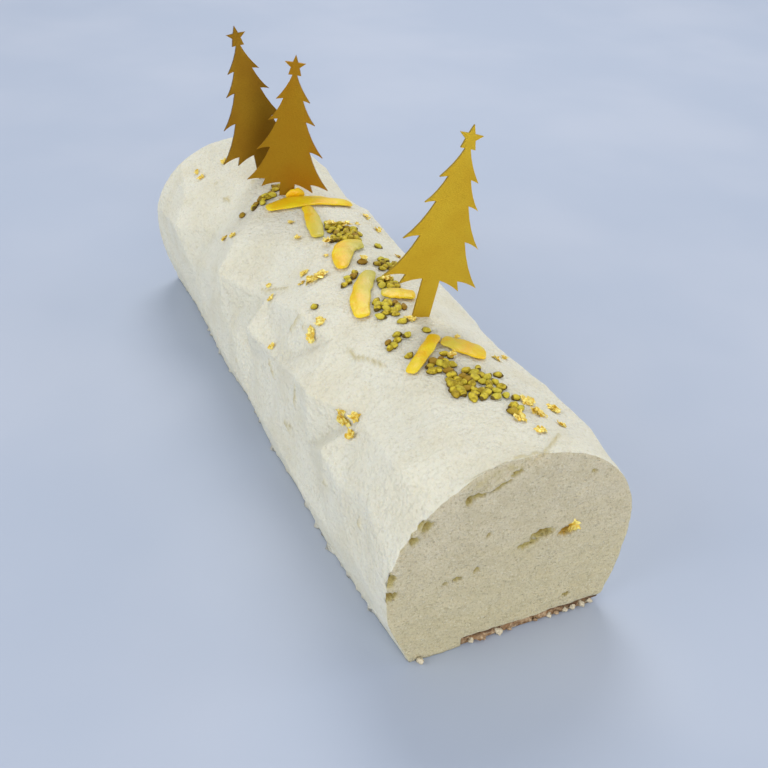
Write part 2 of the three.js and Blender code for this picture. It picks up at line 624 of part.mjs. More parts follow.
// The biscuit: a thin slab with a crumbled, wavering outline
function biscuitSlab() {
  const random = seeded(31);
  const end = LENGTH / 2 - BISCUIT_END_INSET;
  const outline = [];
  const waver = () => BISCUIT_RAGGED * (random() - 1);
  const run = (from, to, place) => {
    const steps = Math.round(Math.abs(to - from) / BISCUIT_STEP);
    for (let i = 0; i < steps; i++) {
      outline.push(place(from + ((to - from) * i) / steps));
    }
  };
  run(BISCUIT_LEFT, BISCUIT_RIGHT, (x) => new THREE.Vector2(x, -end - waver()));
  run(-end, end, (y) => new THREE.Vector2(BISCUIT_RIGHT + waver(), y));
  run(BISCUIT_RIGHT, BISCUIT_LEFT, (x) => new THREE.Vector2(x, end + waver()));
  run(end, -end, (y) => new THREE.Vector2(BISCUIT_LEFT - waver(), y));
  const shape = new THREE.Shape(outline);
  return new THREE.ExtrudeGeometry(shape, { depth: BISCUIT_THICK, bevelEnabled: false });
}

// The room for the biscuit, which runs out past the log on the right and at both ends
function biscuitPocket() {
  const left = BISCUIT_LEFT - GAP;
  const wide = 2 * HALF_WIDTH;
  const pocket = new THREE.BoxGeometry(wide, 2 * LENGTH, 2 * (BISCUIT_THICK + GAP));
  return toSolid(pocket.translate(left + wide / 2, 0, 0));
}

function cutFaceHollows() {
  return CUT_FACE_HOLLOWS.map(([x, z, halfWide, halfHigh, depth, turn]) => {
    const spin = new THREE.Quaternion().setFromAxisAngle(new THREE.Vector3(0, 1, 0), radians(-turn));
    return pebble([halfWide, depth, halfHigh], new THREE.Vector3(x, -LENGTH / 2, z), spin, 1);
  });
}

function skinPits() {
  return SKIN_PITS.map(([y, round, reach]) => (
    pebbleOnSkin(y, round, [reach, reach * PIT_WIDE, PIT_DEPTH], 0, PIT_TURN, 0)
  ));
}

let mousse = toSolid(logBody());
for (const cut of [biscuitPocket(), ...TOPPERS.map(topperSlot), ...cutFaceHollows(), ...skinPits()]) {
  mousse = mousse.subtract(cut);
}
for (const topping of [...nuts(), ...flakes()]) {
  mousse = mousse.add(topping);
}
addMesh('mousse_log', toGeometry(mousse), COLOURS.mousse);
addMesh('biscuit_base', biscuitSlab(), COLOURS.biscuit);
for (const topper of TOPPERS) {
  const card = addMesh(topper.name, topperCard(-topper.rise - STUCK_IN), COLOURS.card);
  standTopper(card, topper);
}
for (const [name, strip] of Object.entries(PEEL_STRIPS)) {
  addMesh(name, peelStrip(strip, PEEL_RAISED[name]), COLOURS.peel);
}

export default group;
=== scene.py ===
import math

import bmesh
import bpy
import numpy as np
from mathutils import Matrix, Quaternion, Vector, geometry, noise


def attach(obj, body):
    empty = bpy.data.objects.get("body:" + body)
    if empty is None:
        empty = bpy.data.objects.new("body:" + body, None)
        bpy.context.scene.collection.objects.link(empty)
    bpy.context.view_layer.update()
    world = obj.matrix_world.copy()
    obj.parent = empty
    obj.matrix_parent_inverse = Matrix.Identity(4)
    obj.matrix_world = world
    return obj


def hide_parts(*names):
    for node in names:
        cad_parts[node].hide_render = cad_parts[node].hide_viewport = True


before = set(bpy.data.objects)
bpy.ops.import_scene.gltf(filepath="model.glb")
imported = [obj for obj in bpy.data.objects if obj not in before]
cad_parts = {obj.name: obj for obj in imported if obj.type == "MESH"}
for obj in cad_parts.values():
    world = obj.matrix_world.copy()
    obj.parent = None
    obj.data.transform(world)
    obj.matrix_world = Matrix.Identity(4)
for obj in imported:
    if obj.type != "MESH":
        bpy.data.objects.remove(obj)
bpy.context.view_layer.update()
MM = 0.001

# The view: one camera in front of the cut end, to its left and above, over a plain pale
# floor, in soft daylight from behind on the right, filled in from the left, right and front.
VIEW_PLACE = Vector((-134.8, -316.4, 244.4)) * MM
VIEW_AZIMUTH = math.radians(-25.86)
VIEW_ELEVATION = math.radians(34.14)
VIEW_ROLL = math.radians(3.03)
VIEW_LENS = 46.68
FLOOR_REACH = 6000
FLOOR_DROP = 0.3
FLOOR_CLOUDS = 160
DAYLIGHT_STRENGTH = 0.62
# The lamps: name, place and width in metres, watts and colour
LAMPS = [
    ("window", (0.45, 0.95, 1.25), 0.9, 9.7, (1, 0.985, 0.95)),
    ("fill", (-1.3, -0.1, 0.7), 1.2, 8.9, (1, 0.985, 0.94)),
    ("side", (1.3, -0.2, 0.5), 1.2, 5.2, (1, 0.98, 0.93)),
    ("front", (-0.1, -1.5, 0.5), 1.2, 11.1, (1, 0.96, 0.88)),
]


def linear(red, green, blue):
    """A colour given in screen values from 0 to 255, as the linear one that shaders take."""
    screen = [value / 255 for value in (red, green, blue)]
    return tuple(v / 12.92 if v < 0.04045 else ((v + 0.055) / 1.055) ** 2.4 for v in screen)


class Wire:
    """A shader socket that takes part in arithmetic, each step one Math node."""

    def __init__(self, finish, socket):
        self.finish = finish
        self.socket = socket

    def step(self, operation, *values):
        return self.finish.node("ShaderNodeMath", {"operation": operation}, dict(enumerate(values)))

    def __add__(self, other):
        return self.step("ADD", self, other)

    def __mul__(self, other):
        return self.step("MULTIPLY", self, other)

    def __sub__(self, other):
        return self.step("SUBTRACT", self, other)

    def __rsub__(self, other):
        return self.step("SUBTRACT", other, self)

    __radd__ = __add__
    __rmul__ = __mul__

    def between(self, low, high):
        """0 below low, 1 above high, and smooth between them."""
        settings = {"interpolation_type": "SMOOTHSTEP"}
        return self.finish.node("ShaderNodeMapRange", settings, {0: self, 1: low, 2: high})


class Finish:
    """One material: node() adds its nodes, and wear() plugs in what varies over the surface."""

    def __init__(self, name, **uniform):
        self.material = bpy.data.materials.new(name)
        self.material.use_nodes = True
        self.tree = self.material.node_tree
        self.shader = self.tree.nodes["Principled BSDF"]
        self.object = self.node("ShaderNodeTexCoord", out="Object")
        for socket, value in uniform.items():
            self.shader.inputs[socket.replace("_", " ")].default_value = value

    def node(self, kind, settings=None, inputs=None, out=0):
        """Adds a node with its settings, and with a value or a wire for each socket named."""
        made = self.tree.nodes.new(kind)
        for name, value in (settings or {}).items():
            setattr(made, name, value)
        for name, value in (inputs or {}).items():
            if isinstance(value, Wire):
                self.tree.links.new(value.socket, made.inputs[name])
            elif made.inputs[name].type == "RGBA":
                made.inputs[name].default_value = (*value, 1)
            else:
                made.inputs[name].default_value = value
        return Wire(self, made.outputs[out])

    def speckle(self, size, detail=2.0, rough=0.5, where=None):
        """Smooth noise whose lumps measure about size millimetres across."""
        inputs = {"Vector": where or self.object, "Scale": 1 / (size * MM)}
        inputs |= {"Detail": detail, "Roughness": rough}
        return self.node("ShaderNodeTexNoise", None, inputs)

    def cells(self, size):
        """Rounded cells about size millimetres across, 0 in the middle of each."""
        inputs = {"Vector": self.object, "Scale": 1 / (size * MM)}
        return self.node("ShaderNodeTexVoronoi", None, inputs)

    def painted(self, name):
        """What the mesh's own attribute of this name holds at each point."""
        return self.node("ShaderNodeAttribute", {"attribute_name": name}, out=2)

    def height(self):
        """The height above the ground in metres."""
        return self.node("ShaderNodeSeparateXYZ", None, {"Vector": self.object}, out=2)

    def blend(self, part, low, high):
        """The colour low where part is 0 and high where it is 1."""
        return self.node("ShaderNodeMix", {"data_type": "RGBA"}, {0: part, 6: low, 7: high}, out=2)

    def wear(self, colour=None, roughness=None, height=None, depth=0.0):
        """Plugs in what varies: a colour, a roughness and a height in depth millimetres."""
        for socket, wire in (("Base Color", colour), ("Roughness", roughness)):
            if wire is not None:
                self.tree.links.new(wire.socket, self.shader.inputs[socket])
        if height is not None:
            inputs = {"Height": height, "Distance": depth * MM, "Strength": 1.0}
            bump = self.node("ShaderNodeBump", None, inputs)
            self.tree.links.new(bump.socket, self.shader.inputs["Normal"])
        return self.material


def show(name, bm, finishes, smooth=True):
    """Makes a bmesh in millimetres into a named object in metres, with its materials."""
    bmesh.ops.scale(bm, vec=(MM, MM, MM), verts=bm.verts)
    for face in bm.faces:
        face.smooth = smooth
    mesh = bpy.data.meshes.new(name)
    bm.to_mesh(mesh)
    bm.free()
    for finish in finishes:
        mesh.materials.append(finish)
    made = bpy.data.objects.new(name, mesh)
    bpy.context.scene.collection.objects.link(made)
    return made


back = Vector((
    math.sin(VIEW_AZIMUTH) * math.cos(VIEW_ELEVATION),
    -math.cos(VIEW_AZIMUTH) * math.cos(VIEW_ELEVATION),
    math.sin(VIEW_ELEVATION),
))
camera = bpy.data.objects.new("view", bpy.data.cameras.new("view"))
camera.data.lens = VIEW_LENS
camera.location = VIEW_PLACE
camera.rotation_mode = "QUATERNION"
camera.rotation_quaternion = (-back).to_track_quat("-Z", "Y") @ Quaternion((0, 0, 1), VIEW_ROLL)
bpy.context.scene.collection.objects.link(camera)
bpy.context.scene.camera = camera
bpy.context.scene.view_settings.view_transform = "Standard"

floor_bm = bmesh.new()
bmesh.ops.create_grid(floor_bm, x_segments=1, y_segments=1, size=FLOOR_REACH)
bmesh.ops.translate(floor_bm, vec=(0, 0, -FLOOR_DROP), verts=floor_bm.verts)
pale = Finish("pale_floor", Roughness=0.6)
floor_clouds = pale.speckle(FLOOR_CLOUDS, 3).between(0.35, 0.7)
floor_tone = pale.blend(floor_clouds, linear(177, 188, 207), linear(185, 194, 211))
floor = show("floor", floor_bm, [pale.wear(colour=floor_tone)])

world = bpy.data.worlds.new("daylight")
world.use_nodes = True
sky = world.node_tree.nodes["Background"].inputs
sky["Color"].default_value = (*linear(214, 220, 232), 1)
sky["Strength"].default_value = DAYLIGHT_STRENGTH
bpy.context.scene.world = world

for lamp_name, lamp_place, width, watts, colour in LAMPS:
    lamp = bpy.data.lights.new(lamp_name, "AREA")
    lamp.shape = "DISK"
    lamp.size = width
    lamp.energy = watts
    lamp.color = colour
    held = bpy.data.objects.new(lamp_name, lamp)
    held.location = lamp_place
    held.rotation_euler = (-Vector(lamp_place)).to_track_quat("-Z", "Y").to_euler()
    bpy.context.scene.collection.objects.link(held)

# The log: vanilla mousse set in a mould with low flat facets, turned out frozen and sprayed
# with a fine velvet of white cocoa butter, then cut across at the front, where the denser
# grey-cream inside shows with its torn hollows.
LENGTH = 271
CUT_Y = -LENGTH / 2
HALF_WIDTH = 42.1
HEIGHT = 71
WIDEST_Z = 32.7
CROWN_POWER = 2.1
FOOT_HALF = 36.3
REAR_ROUNDING = 4
REAR_DRAWN_IN = 0.1
# The corners of the facets, unrolled: y, distance round from the crest and rise above the loaf
LEFT_SHOULDER = [
    (-117, -32, 4), (-86, -34, -1.5), (-50, -26, 2), (-28, -29, 4.5),
    (3, -37, -1.5), (41, -33, 3.5), (69, -38, -3.5), (106, -40, 1.5),
]
RIGHT_SHOULDER = [
    (-117, 36, 3), (-91, 35, 2.5), (-67, 33, 0.5), (-41, 36, 0), (-12, 30, 2.5),
    (18, 36, 0), (48, 30, 2.5), (78, 36, -1), (107, 35, 2),
]
FLANK = [
    (-112, -46, 1.5), (-96, -54, 0.5), (-80, -51, 2), (-63, -61, -2.5),
    (-62, -42, 4.5), (-43, -44, 2), (-27, -49, -2), (-2, -50, 2.5),
    (2, -64, -3.5), (14, -62, 0.5), (32, -63, -0.5), (33, -45, 5.5),
    (52, -46, -1.5), (66, -57, -2), (82, -63, -0.5), (94, -51, 5), (118, -55, 2.5),
    (-107, -72, 0.5), (-89, -80, 1), (-63, -82, 2), (-27, -79, 1.5),
    (4, -84, 1), (34, -78, 2), (62, -82, 0.5), (100, -79, 0.5),
]
CREST_CORNERS = [-126, -107, -90, -70, -45, -22, -3, 15, 37, 60, 85, 110]
CREST_ROUND = -12
RIGHT_RELIEF = 0.4
# The corners on both ends: distance round, rise at the cut and rise at the rear
END_CORNERS = [(12, 0.4, 0), (33, 0, 1), (56, 0.4, 2.6), (76, 0.4, 1.6)]
WORN_CORNER = -3.2
FOOT_CORNERS = 8
FOOT_REACH = 105
FOOT_SEED = 7
# The long straight creases between facets: y and distance round of both ends
LONG_CREASES = [
    ((-86, -34), (-63, -61)), ((-50, -26), (-27, -49)), ((-27, -49), (3, -37)),
    ((3, -37), (2, -64)), ((3, -37), (32, -63)),
]
FOOT_WAVER = 1.2
FOOT_CLEAR = 6
SMOOTH_UP_TO = 11
FACETED_FROM = 26
SMOOTH_END = 22
GRID_STEP = 1.0
CUT_RINGS = 110
REAR_RINGS = 20
ROUNDING_RINGS = 5
MERGE_WITHIN = 0.01
# How near counts as on the cut face, on the pocket's wall and on its floor or roof
ON_CUT = 0.05
ON_WALL = 0.01
ON_LEVEL = 0.05
UNDERSIDE = 0.3
# The torn hollows of the cut face: x, z, half width, half height, depth and turn in degrees
CUT_FACE_HOLLOWS = [
    (4.4, 36.9, 4.2, 1.1, 2, 10), (9, 39.6, 4.2, 1.9, 2.4, -8), (18.6, 37.6, 3.4, 1.9, 3.4, 0),
    (-18.2, 60.7, 1.5, 1.3, 2.6, 0), (-14.4, 61.9, 3.4, 0.6, 2.4, 8), (-8.4, 63.6, 4, 0.5, 2.4, 26),
    (-3.2, 66.5, 2.2, 0.5, 2, 22), (-30.9, 55.3, 1.9, 1.4, 2.2, 30), (-34.6, 51.2, 1.6, 1, 1.4, 50),
    (-19.4, 30.7, 1.6, 0.9, 1.8, 0), (-23.3, 30, 1.2, 0.6, 1, 0), (-12.8, 32.3, 1.3, 1, 1.6, 0),
    (-10.2, 45.5, 1, 0.6, 1.4, 30), (22.5, 8.5, 1.8, 1.1, 2, 0), (24.3, 59.5, 0.8, 0.7, 1.2, 0),
    (-40.6, 31.6, 2.2, 1.5, 2.2, 40), (-40.6, 38.4, 1.3, 1.6, 1.6, 0),
]
HOLLOW_THINNEST = 0.7
# The depth at which a hollow takes the whole torn tone, painted shade that deepens with depth
HOLLOW_FULL_SHADE = 2.4
# Where a hollow of the cut face takes a painted golden reflection of the leaf flake beside it: x, z and
# how far
FLAKE_REFLECTION = (18, 37.4, 3.2)
FLAKE_REFLECTION_EDGE = 1.5
# The pits of the skin: y, distance round and reach
SKIN_PITS = [
    (-111, -57, 1.9), (-85, -61, 1.8), (83, -26, 2), (98, -25.5, 1.4), (80, -11.8, 1.6),
    (-34, -31, 1.5), (4.6, -35.4, 1.5), (-46, -66, 1.8), (12, -72, 1.6),
]
PIT_DEPTH = 0.9
# The cracks of the skin: y and distance round of both ends of each stretch
SKIN_CRACKS = [
    (-73, -17.5, -67, -19), (-67, -19, -62, -23), (-62, -23, -57.5, -24), (-50, -54, -49, -46),
    (-29, -30, -27.5, -36), (-25, -57, -18, -54), (-48, -64, -42, -66), (80, -26, 85, -27),
    (-134, 6.2, -131, 10), (-131, 10, -126.7, 15.6), (7.9, -36.4, 2.5, -32.1), (2.5, -32.1, -2.5, -27.8),
]
CRACK_HALF = 0.9
CRACK_DEPTH = 0.8
# The torn stretches of the cut face's rim: distance round and half length
RAGGED_RIM = [(-40, 9), (-61, 9)]
RAGGED_REACH = 4
RAGGED_FADE = 1.6
RAGGED_LEAST = 0.2
# The chip above the long crack of the cut face, and the crack's height, start and slope
CHIP_LEFT = -21
CHIP_RIGHT = 9
CHIP_FADE = 4
CHIP_LINE = (60.8, -18.4, 0.377)
CHIP_STEP = 1.2
CHIP_DEPTH = 0.6
LIP_REACH = 1.8
LIP_EDGE = 0.3
LIP_DROP = 0.5
# Painted golden reflection and shade from below, low on the foot near the cut: how high and how far back
# from the cut it reaches
FOOT_REFLECTION = (5, 26)
FOOT_LUMP_RISE = 6
FOOT_LUMP_INWARD = 6
CUT_SET_BACK = 0.3
DRAG_FLATTER = 1.6
# The lumps of each kind: size, depth and seed
CUT_DRAG = (9, 0.4, 0)
CUT_LUMPS = (2.2, 0.32, 1)
RIM_TEARS = (2.1, 2.4, 5)
CHIP_LUMPS = (2.5, 1, 9)
HOLLOW_FRAY = (1.2, 0.55, 3)
SKIN_SWELL = (9, 0.16, 0)
SKIN_LUMPS = (2.1, 0.16, 2)
CRACK_WAVER = (2.5, 0.9, 6)
LIP_WAVER = (3, 0.9, 8)
PIT_FRAY = (1.5, 0.35, 4)
FOOT_LUMPS = (3.2, 2.8, 11)
# How much of the torn tone each kind of damage shows; in cracks, pits and hollows that tone
# is partly painted shade, and low on the front of the foot it is painted golden reflection and shade
TEAR_SHOWS = 0.5
CHIP_SHOWS = 0.1
CHIP_MOTTLE = 0.3
CRACK_SHADE_SHOWS = 0.7
LIP_SHOWS = 0.5
FOOT_REFLECTION_SHOWS = 0.35
PIT_SHADE_SHOWS = 0.6
# The room that the biscuit takes up under the log
BISCUIT_THICK = 3.2
BISCUIT_LEFT = -15
BISCUIT_RIGHT = 35.2
GAP = 0.3


def seeded(seed):
    """A small seeded generator of numbers from 0 to 1."""
    state = seed
    while True:
        state = (state * 1664525 + 1013904223) & 0xFFFFFFFF
        yield state / 4294967296


def half_section(samples=240):
    """The half section from the crest to the foot: x, z and the distance round to each."""
    low_samples = samples // 4
    angle = math.pi / 2 * (1 - np.arange(samples + 1) / samples)
    x = HALF_WIDTH * np.cos(angle).clip(0) ** (2 / CROWN_POWER)
    z = WIDEST_Z + (HEIGHT - WIDEST_Z) * np.sin(angle).clip(0) ** (2 / CROWN_POWER)
    up = 1 - np.arange(1, low_samples + 1) / low_samples
    x = np.r_[x, FOOT_HALF + (HALF_WIDTH - FOOT_HALF) * np.sin(up * math.pi / 2)]
    z = np.r_[z, WIDEST_Z * up]
    return x, z, np.r_[0, np.cumsum(np.hypot(np.diff(x), np.diff(z)))]


SECTION_X, SECTION_Z, SECTION_ROUND = half_section()
HALF_GIRTH = SECTION_ROUND[-1]


def smooth_skin(y, around, lift):
    """The smooth loaf at y and a distance round from the crest, raised along its normal."""
    side = np.where(around < 0, -1.0, 1.0)
    along = np.minimum(np.abs(around), HALF_GIRTH)
    i = np.clip(np.searchsorted(SECTION_ROUND, along), 1, len(SECTION_ROUND) - 1)
    step_x = SECTION_X[i] - SECTION_X[i - 1]
    step_z = SECTION_Z[i] - SECTION_Z[i - 1]
    span = np.hypot(step_x, step_z)
    part = (along - SECTION_ROUND[i - 1]) / span
    x = SECTION_X[i - 1] + step_x * part - step_z / span * lift
    z = SECTION_Z[i - 1] + step_z * part
    rise = step_x / span * lift * np.minimum(1, z / FOOT_CLEAR)
    return np.stack([side * x, y + 0 * x, np.maximum(0, z + rise)], -1)


def skin_corners():
    """All corners of the unrolled skin: both sides, the crest, the feet and the two ends."""
    draw = seeded(FOOT_SEED)
    spacing = 2 * FOOT_REACH / (FOOT_CORNERS - 1)
    foot = [
        (i * spacing - FOOT_REACH, -HALF_GIRTH, FOOT_WAVER * (2 * next(draw) - 1))
        for i in range(FOOT_CORNERS)
    ]
    left = FLANK + foot + [(y, CREST_ROUND, 0) for y in CREST_CORNERS]
    right = [(-y, -around, lift * RIGHT_RELIEF) for y, around, lift in left]
    ends = []
    for around, front, rear in [*END_CORNERS, (HALF_GIRTH, 0, 0)]:
        for side in (-1, 1):
            lift = WORN_CORNER if side * around == -HALF_GIRTH else front
            ends += [(CUT_Y, side * around, lift), (-CUT_Y - REAR_ROUNDING, side * around, rear)]
    return LEFT_SHOULDER + RIGHT_SHOULDER + left + right + ends


def facet_list():
    """The facets: each joins three neighbouring corners, and a long crease is always an edge."""
    corners = skin_corners()
    number = {(y, around): k for k, (y, around, _) in enumerate(corners)}
    creases = [(number[start], number[end]) for start, end in LONG_CREASES]
    flat = [Vector(corner[:2]) for corner in corners]
    origin = geometry.delaunay_2d_cdt(flat, creases, [], 0, 0.001)
    return [[corners[origin[3][k][0]] for k in face] for face in origin[2]]


FACETS = [np.array(facet, float) for facet in facet_list()]
FACET_SOLIDS = [smooth_skin(facet[:, 0], facet[:, 1], facet[:, 2]) for facet in FACETS]


def ease(part):
    """0 below 0, 1 above 1, and smooth between them."""
    part = np.clip(part, 0, 1)
    return part * part * (3 - 2 * part)


def skin(y, around):
    """The skin at y and a distance round: flat low on the sides, smooth over the crest."""
    y, around = np.atleast_1d(np.asarray(y, float)), np.atleast_1d(np.asarray(around, float))
    nearest = np.full(y.shape, -np.inf)
    lift = np.zeros(y.shape)
    flat = np.zeros((*y.shape, 3))
    for facet, solid in zip(FACETS, FACET_SOLIDS):
        a, b, c = facet[:, :2]
        area = (b[0] - a[0]) * (c[1] - a[1]) - (c[0] - a[0]) * (b[1] - a[1])
        v = ((y - a[0]) * (c[1] - a[1]) - (c[0] - a[0]) * (around - a[1])) / area
        w = ((b[0] - a[0]) * (around - a[1]) - (y - a[0]) * (b[1] - a[1])) / area
        inside = np.minimum(1 - v - w, np.minimum(v, w))
        better = inside > nearest
        weights = np.stack([1 - v - w, v, w], -1)[better]
        nearest[better] = inside[better]
        lift[better] = weights @ facet[:, 2]
        flat[better] = weights @ solid
    aside = ease((np.abs(around) - SMOOTH_UP_TO) / (FACETED_FROM - SMOOTH_UP_TO))
    inward = ease((-CUT_Y - np.abs(y)) / SMOOTH_END)
    faceted = (aside * inward)[..., None]
    return smooth_skin(y, around, lift) * (1 - faceted) + flat * faceted


def skin_frames(y, around):
    """Places on the skin with the directions along the log, across it and out of it."""
    y, around = np.asarray(y, float), np.asarray(around, float)
    along = skin(y + 1, around) - skin(y - 1, around)
    along /= np.linalg.norm(along, axis=-1, keepdims=True)
    out = np.cross(skin(y, around + 1) - skin(y, around - 1), along)
    out /= np.linalg.norm(out, axis=-1, keepdims=True)
    return skin(y, around), along, np.cross(out, along), out


def skin_frame(y, around):
    """The same for one place."""
    return [Vector(direction[0]) for direction in skin_frames([y], [around])]


def lumps(place, size, depth, seed=0.0):
    """Smooth lumps about size millimetres across and depth high."""
    return depth * noise.noise(Vector(place) / size + Vector((seed, 3 * seed, 7 * seed)))


def log_body():
    """A grid wrapped round the loaf, its first rings drawn in over the cut face."""
    body_steps = round((LENGTH - REAR_ROUNDING) / GRID_STEP)
    columns = CUT_RINGS + body_steps + ROUNDING_RINGS + REAR_RINGS
    rows = round(2 * HALF_GIRTH / GRID_STEP)
    bm = bmesh.new()
    bmesh.ops.create_grid(bm, x_segments=columns, y_segments=rows, size=1)
    column = np.array([round((v.co.x + 1) / 2 * columns) for v in bm.verts])
    around = np.array([v.co.y for v in bm.verts]) * HALF_GIRTH
    unrolled = bm.verts.layers.float.new("round")
    inset = bm.verts.layers.float.new("inset")
    step = column - CUT_RINGS
    rear = -CUT_Y - REAR_ROUNDING
    y = np.clip(CUT_Y + step * (rear - CUT_Y) / body_steps, CUT_Y, rear)
    place = skin(y, around)
    drawn_in = np.clip(1 + step / CUT_RINGS, 0, 1)
    turn = np.clip((step - body_steps) / ROUNDING_RINGS, 0, 1) * math.pi / 2
    closing = np.clip((step - body_steps - ROUNDING_RINGS) / REAR_RINGS, 0, 1)
    scale = drawn_in * (1 - REAR_DRAWN_IN * (1 - np.cos(turn))) * (1 - closing)
    place[:, 0] *= scale
    place[:, 2] *= scale
    place[:, 1] += REAR_ROUNDING * np.sin(turn)
    for vert, point, distance, share in zip(bm.verts, place, around, drawn_in):
        vert.co = point
        vert[unrolled] = distance
        vert[inset] = (1 - share) * HALF_WIDTH
    for face in bm.faces:
        face.material_index = 1 if face.calc_center_median().y < CUT_Y + ON_CUT else 0
    bmesh.ops.remove_doubles(bm, verts=bm.verts, dist=MERGE_WITHIN)
    return bm


def hollow_depth(x, z):
    """How far the cut face is torn away at x and z."""
    deepest = 0
    for x0, z0, half_wide, half_high, depth, turn in CUT_FACE_HOLLOWS:
        off = Matrix.Rotation(-math.radians(turn), 2) @ Vector((x - x0, z - z0))
        away = math.hypot(off.x / half_wide, off.y / max(HOLLOW_THINNEST, half_high))
        away += lumps((x, 5, z), *HOLLOW_FRAY)
        deepest = max(deepest, depth * math.sqrt(max(0, 1 - away * away)))
    return deepest


def chip_line(x):
    """The height of the long crack of the cut face at x."""
    height, start, slope = CHIP_LINE
    return height + slope * (x - start)


def chip_share(x):
    """1 along the chipped stretch of the cut face's top edge, fading out at both its ends."""
    return ease(min(x - CHIP_LEFT, CHIP_RIGHT - x) / CHIP_FADE)


def rim_tear(place, inset, around):
    """How far the cut face is torn back at a place, by its distance in from the rim and round it."""
    near_rim = ease(1 - inset / RAGGED_REACH)
    stretch = max(ease(RAGGED_FADE * (1 - abs(around - middle) / half)) for middle, half in RAGGED_RIM)
    return max(0, near_rim * stretch * (RAGGED_LEAST + lumps(place, *RIM_TEARS)))


def foot_lump(place):
    """How far the crumbly foot of the skin stands out at a place."""
    is_foot = abs(place.x) > FOOT_HALF - FOOT_LUMP_INWARD
    return max(0, lumps(place, *FOOT_LUMPS)) if is_foot else 0


def beside_crack(y, around):
    """The distance to the nearest crack of the skin, unrolled."""
    nearest = math.inf
    for y0, around0, y1, around1 in SKIN_CRACKS:
        step = Vector((y1 - y0, around1 - around0))
        off = Vector((y - y0, around - around0))
        part = min(1, max(0, off.dot(step) / step.length_squared))
        nearest = min(nearest, (off - step * part).length)
    return nearest


def roughen(bm):
    """Gives the skin its low lumps and pits and the cut face its torn, dragged surface."""
    bm.normal_update()
    torn_and_shade = bm.verts.layers.float.new("torn_and_shade")
    flake_reflection = bm.verts.layers.float.new("flake_reflection")
    unrolled = bm.verts.layers.float["round"]
    inset = bm.verts.layers.float["inset"]
    pits = [(Vector(skin(y, around)[0]), reach) for y, around, reach in SKIN_PITS]
    for vert in bm.verts:
        from_edge = vert.co.y - CUT_Y
        if from_edge < ON_CUT:
            hollow = hollow_depth(vert.co.x, vert.co.z)
            # Painted golden reflection of the leaf flake in the hollow beside it
            from_leaf = math.dist((vert.co.x, vert.co.z), FLAKE_REFLECTION[:2]) / FLAKE_REFLECTION[2]
            vert[flake_reflection] = min(1, hollow) * ease(FLAKE_REFLECTION_EDGE - from_leaf)
            drag = lumps((vert.co.x, 0, vert.co.z * DRAG_FLATTER), *CUT_DRAG) + lumps(vert.co, *CUT_LUMPS)
            tear = rim_tear(vert.co, vert[inset], vert[unrolled])
            chip = chip_share(vert.co.x) * ease((vert.co.z - chip_line(vert.co.x)) / CHIP_STEP)
            vert.co.y += drag + CUT_SET_BACK + hollow + tear + CHIP_DEPTH * chip
            chipped = chip * (CHIP_SHOWS + CHIP_MOTTLE * lumps(vert.co, *CHIP_LUMPS))
            # The torn tone of the cut face: the torn mousse's own colour, and painted shade that deepens
            # with a hollow's depth
            vert[torn_and_shade] = min(1, hollow / HOLLOW_FULL_SHADE + TEAR_SHOWS * tear + chipped)
        elif vert.co.z > UNDERSIDE:
            swell = lumps(vert.co, *SKIN_SWELL) + lumps(vert.co, *SKIN_LUMPS)
            swell += ease(1 - vert.co.z / FOOT_LUMP_RISE) * foot_lump(vert.co)
            around = vert[unrolled] + lumps(vert.co, *CRACK_WAVER)
            crack = ease(1 - beside_crack(vert.co.y, around) / CRACK_HALF)
            swell -= CRACK_DEPTH * crack
            lip = chip_share(vert.co.x) if vert.co.z > WIDEST_Z else 0
            lip *= ease((1 + lumps(vert.co, *LIP_WAVER) - from_edge / LIP_REACH) / LIP_EDGE)
            swell -= LIP_DROP * lip
            # Painted golden reflection and shade from below, low on the foot near the cut
            foot_reflection = ease(1 - vert.co.z / FOOT_REFLECTION[0]) * ease(1 - from_edge / FOOT_REFLECTION[1])
            # Cracks and pits take the torn tone: partly the mousse under the broken skin, partly painted
            # shade in the dents
            vert[torn_and_shade] = max(CRACK_SHADE_SHOWS * crack, LIP_SHOWS * lip, FOOT_REFLECTION_SHOWS * foot_reflection)
            for middle, reach in pits:
                away = (vert.co - middle).length / reach + lumps(vert.co, *PIT_FRAY)
                if away < 1:
                    swell -= PIT_DEPTH * (1 - away * away)
                    vert[torn_and_shade] = max(vert[torn_and_shade], PIT_SHADE_SHOWS * (1 - away))
            vert.co += vert.normal * swell
        else:
            vert.co.x += math.copysign(foot_lump(vert.co), vert.co.x)


def open_pocket(bm):
    """Cuts the room for the biscuit out of the foot and closes the underside with flat faces."""
    wall = BISCUIT_LEFT - GAP
    roof = BISCUIT_THICK + GAP
    for place, facing in (((wall, 0, 0), (1, 0, 0)), ((0, 0, roof), (0, 0, 1))):
        parts = [*bm.verts, *bm.edges, *bm.faces]
        bmesh.ops.bisect_plane(bm, geom=parts, plane_co=place, plane_no=facing)
    middles = [(face, face.calc_center_median()) for face in bm.faces]
    low = [face for face, middle in middles if middle.x > wall and middle.z < roof]
    bmesh.ops.delete(bm, geom=low, context="FACES")
    rim = {vert for edge in bm.edges if edge.is_boundary for vert in edge.verts}
    corners = [vert for vert in rim if abs(vert.co.x - wall) < ON_WALL]
    for height in (0, roof):
        level = [vert for vert in corners if abs(vert.co.z - height) < ON_LEVEL]
        bm.edges.new((min(level, key=lambda v: v.co.y), max(level, key=lambda v: v.co.y)))
    open_edges = [edge for edge in bm.edges if edge.is_boundary or edge.is_wire]
    bmesh.ops.edgenet_fill(bm, edges=open_edges)
    bmesh.ops.recalc_face_normals(bm, faces=bm.faces)


mousse_bm = log_body()
roughen(mousse_bm)
open_pocket(mousse_bm)

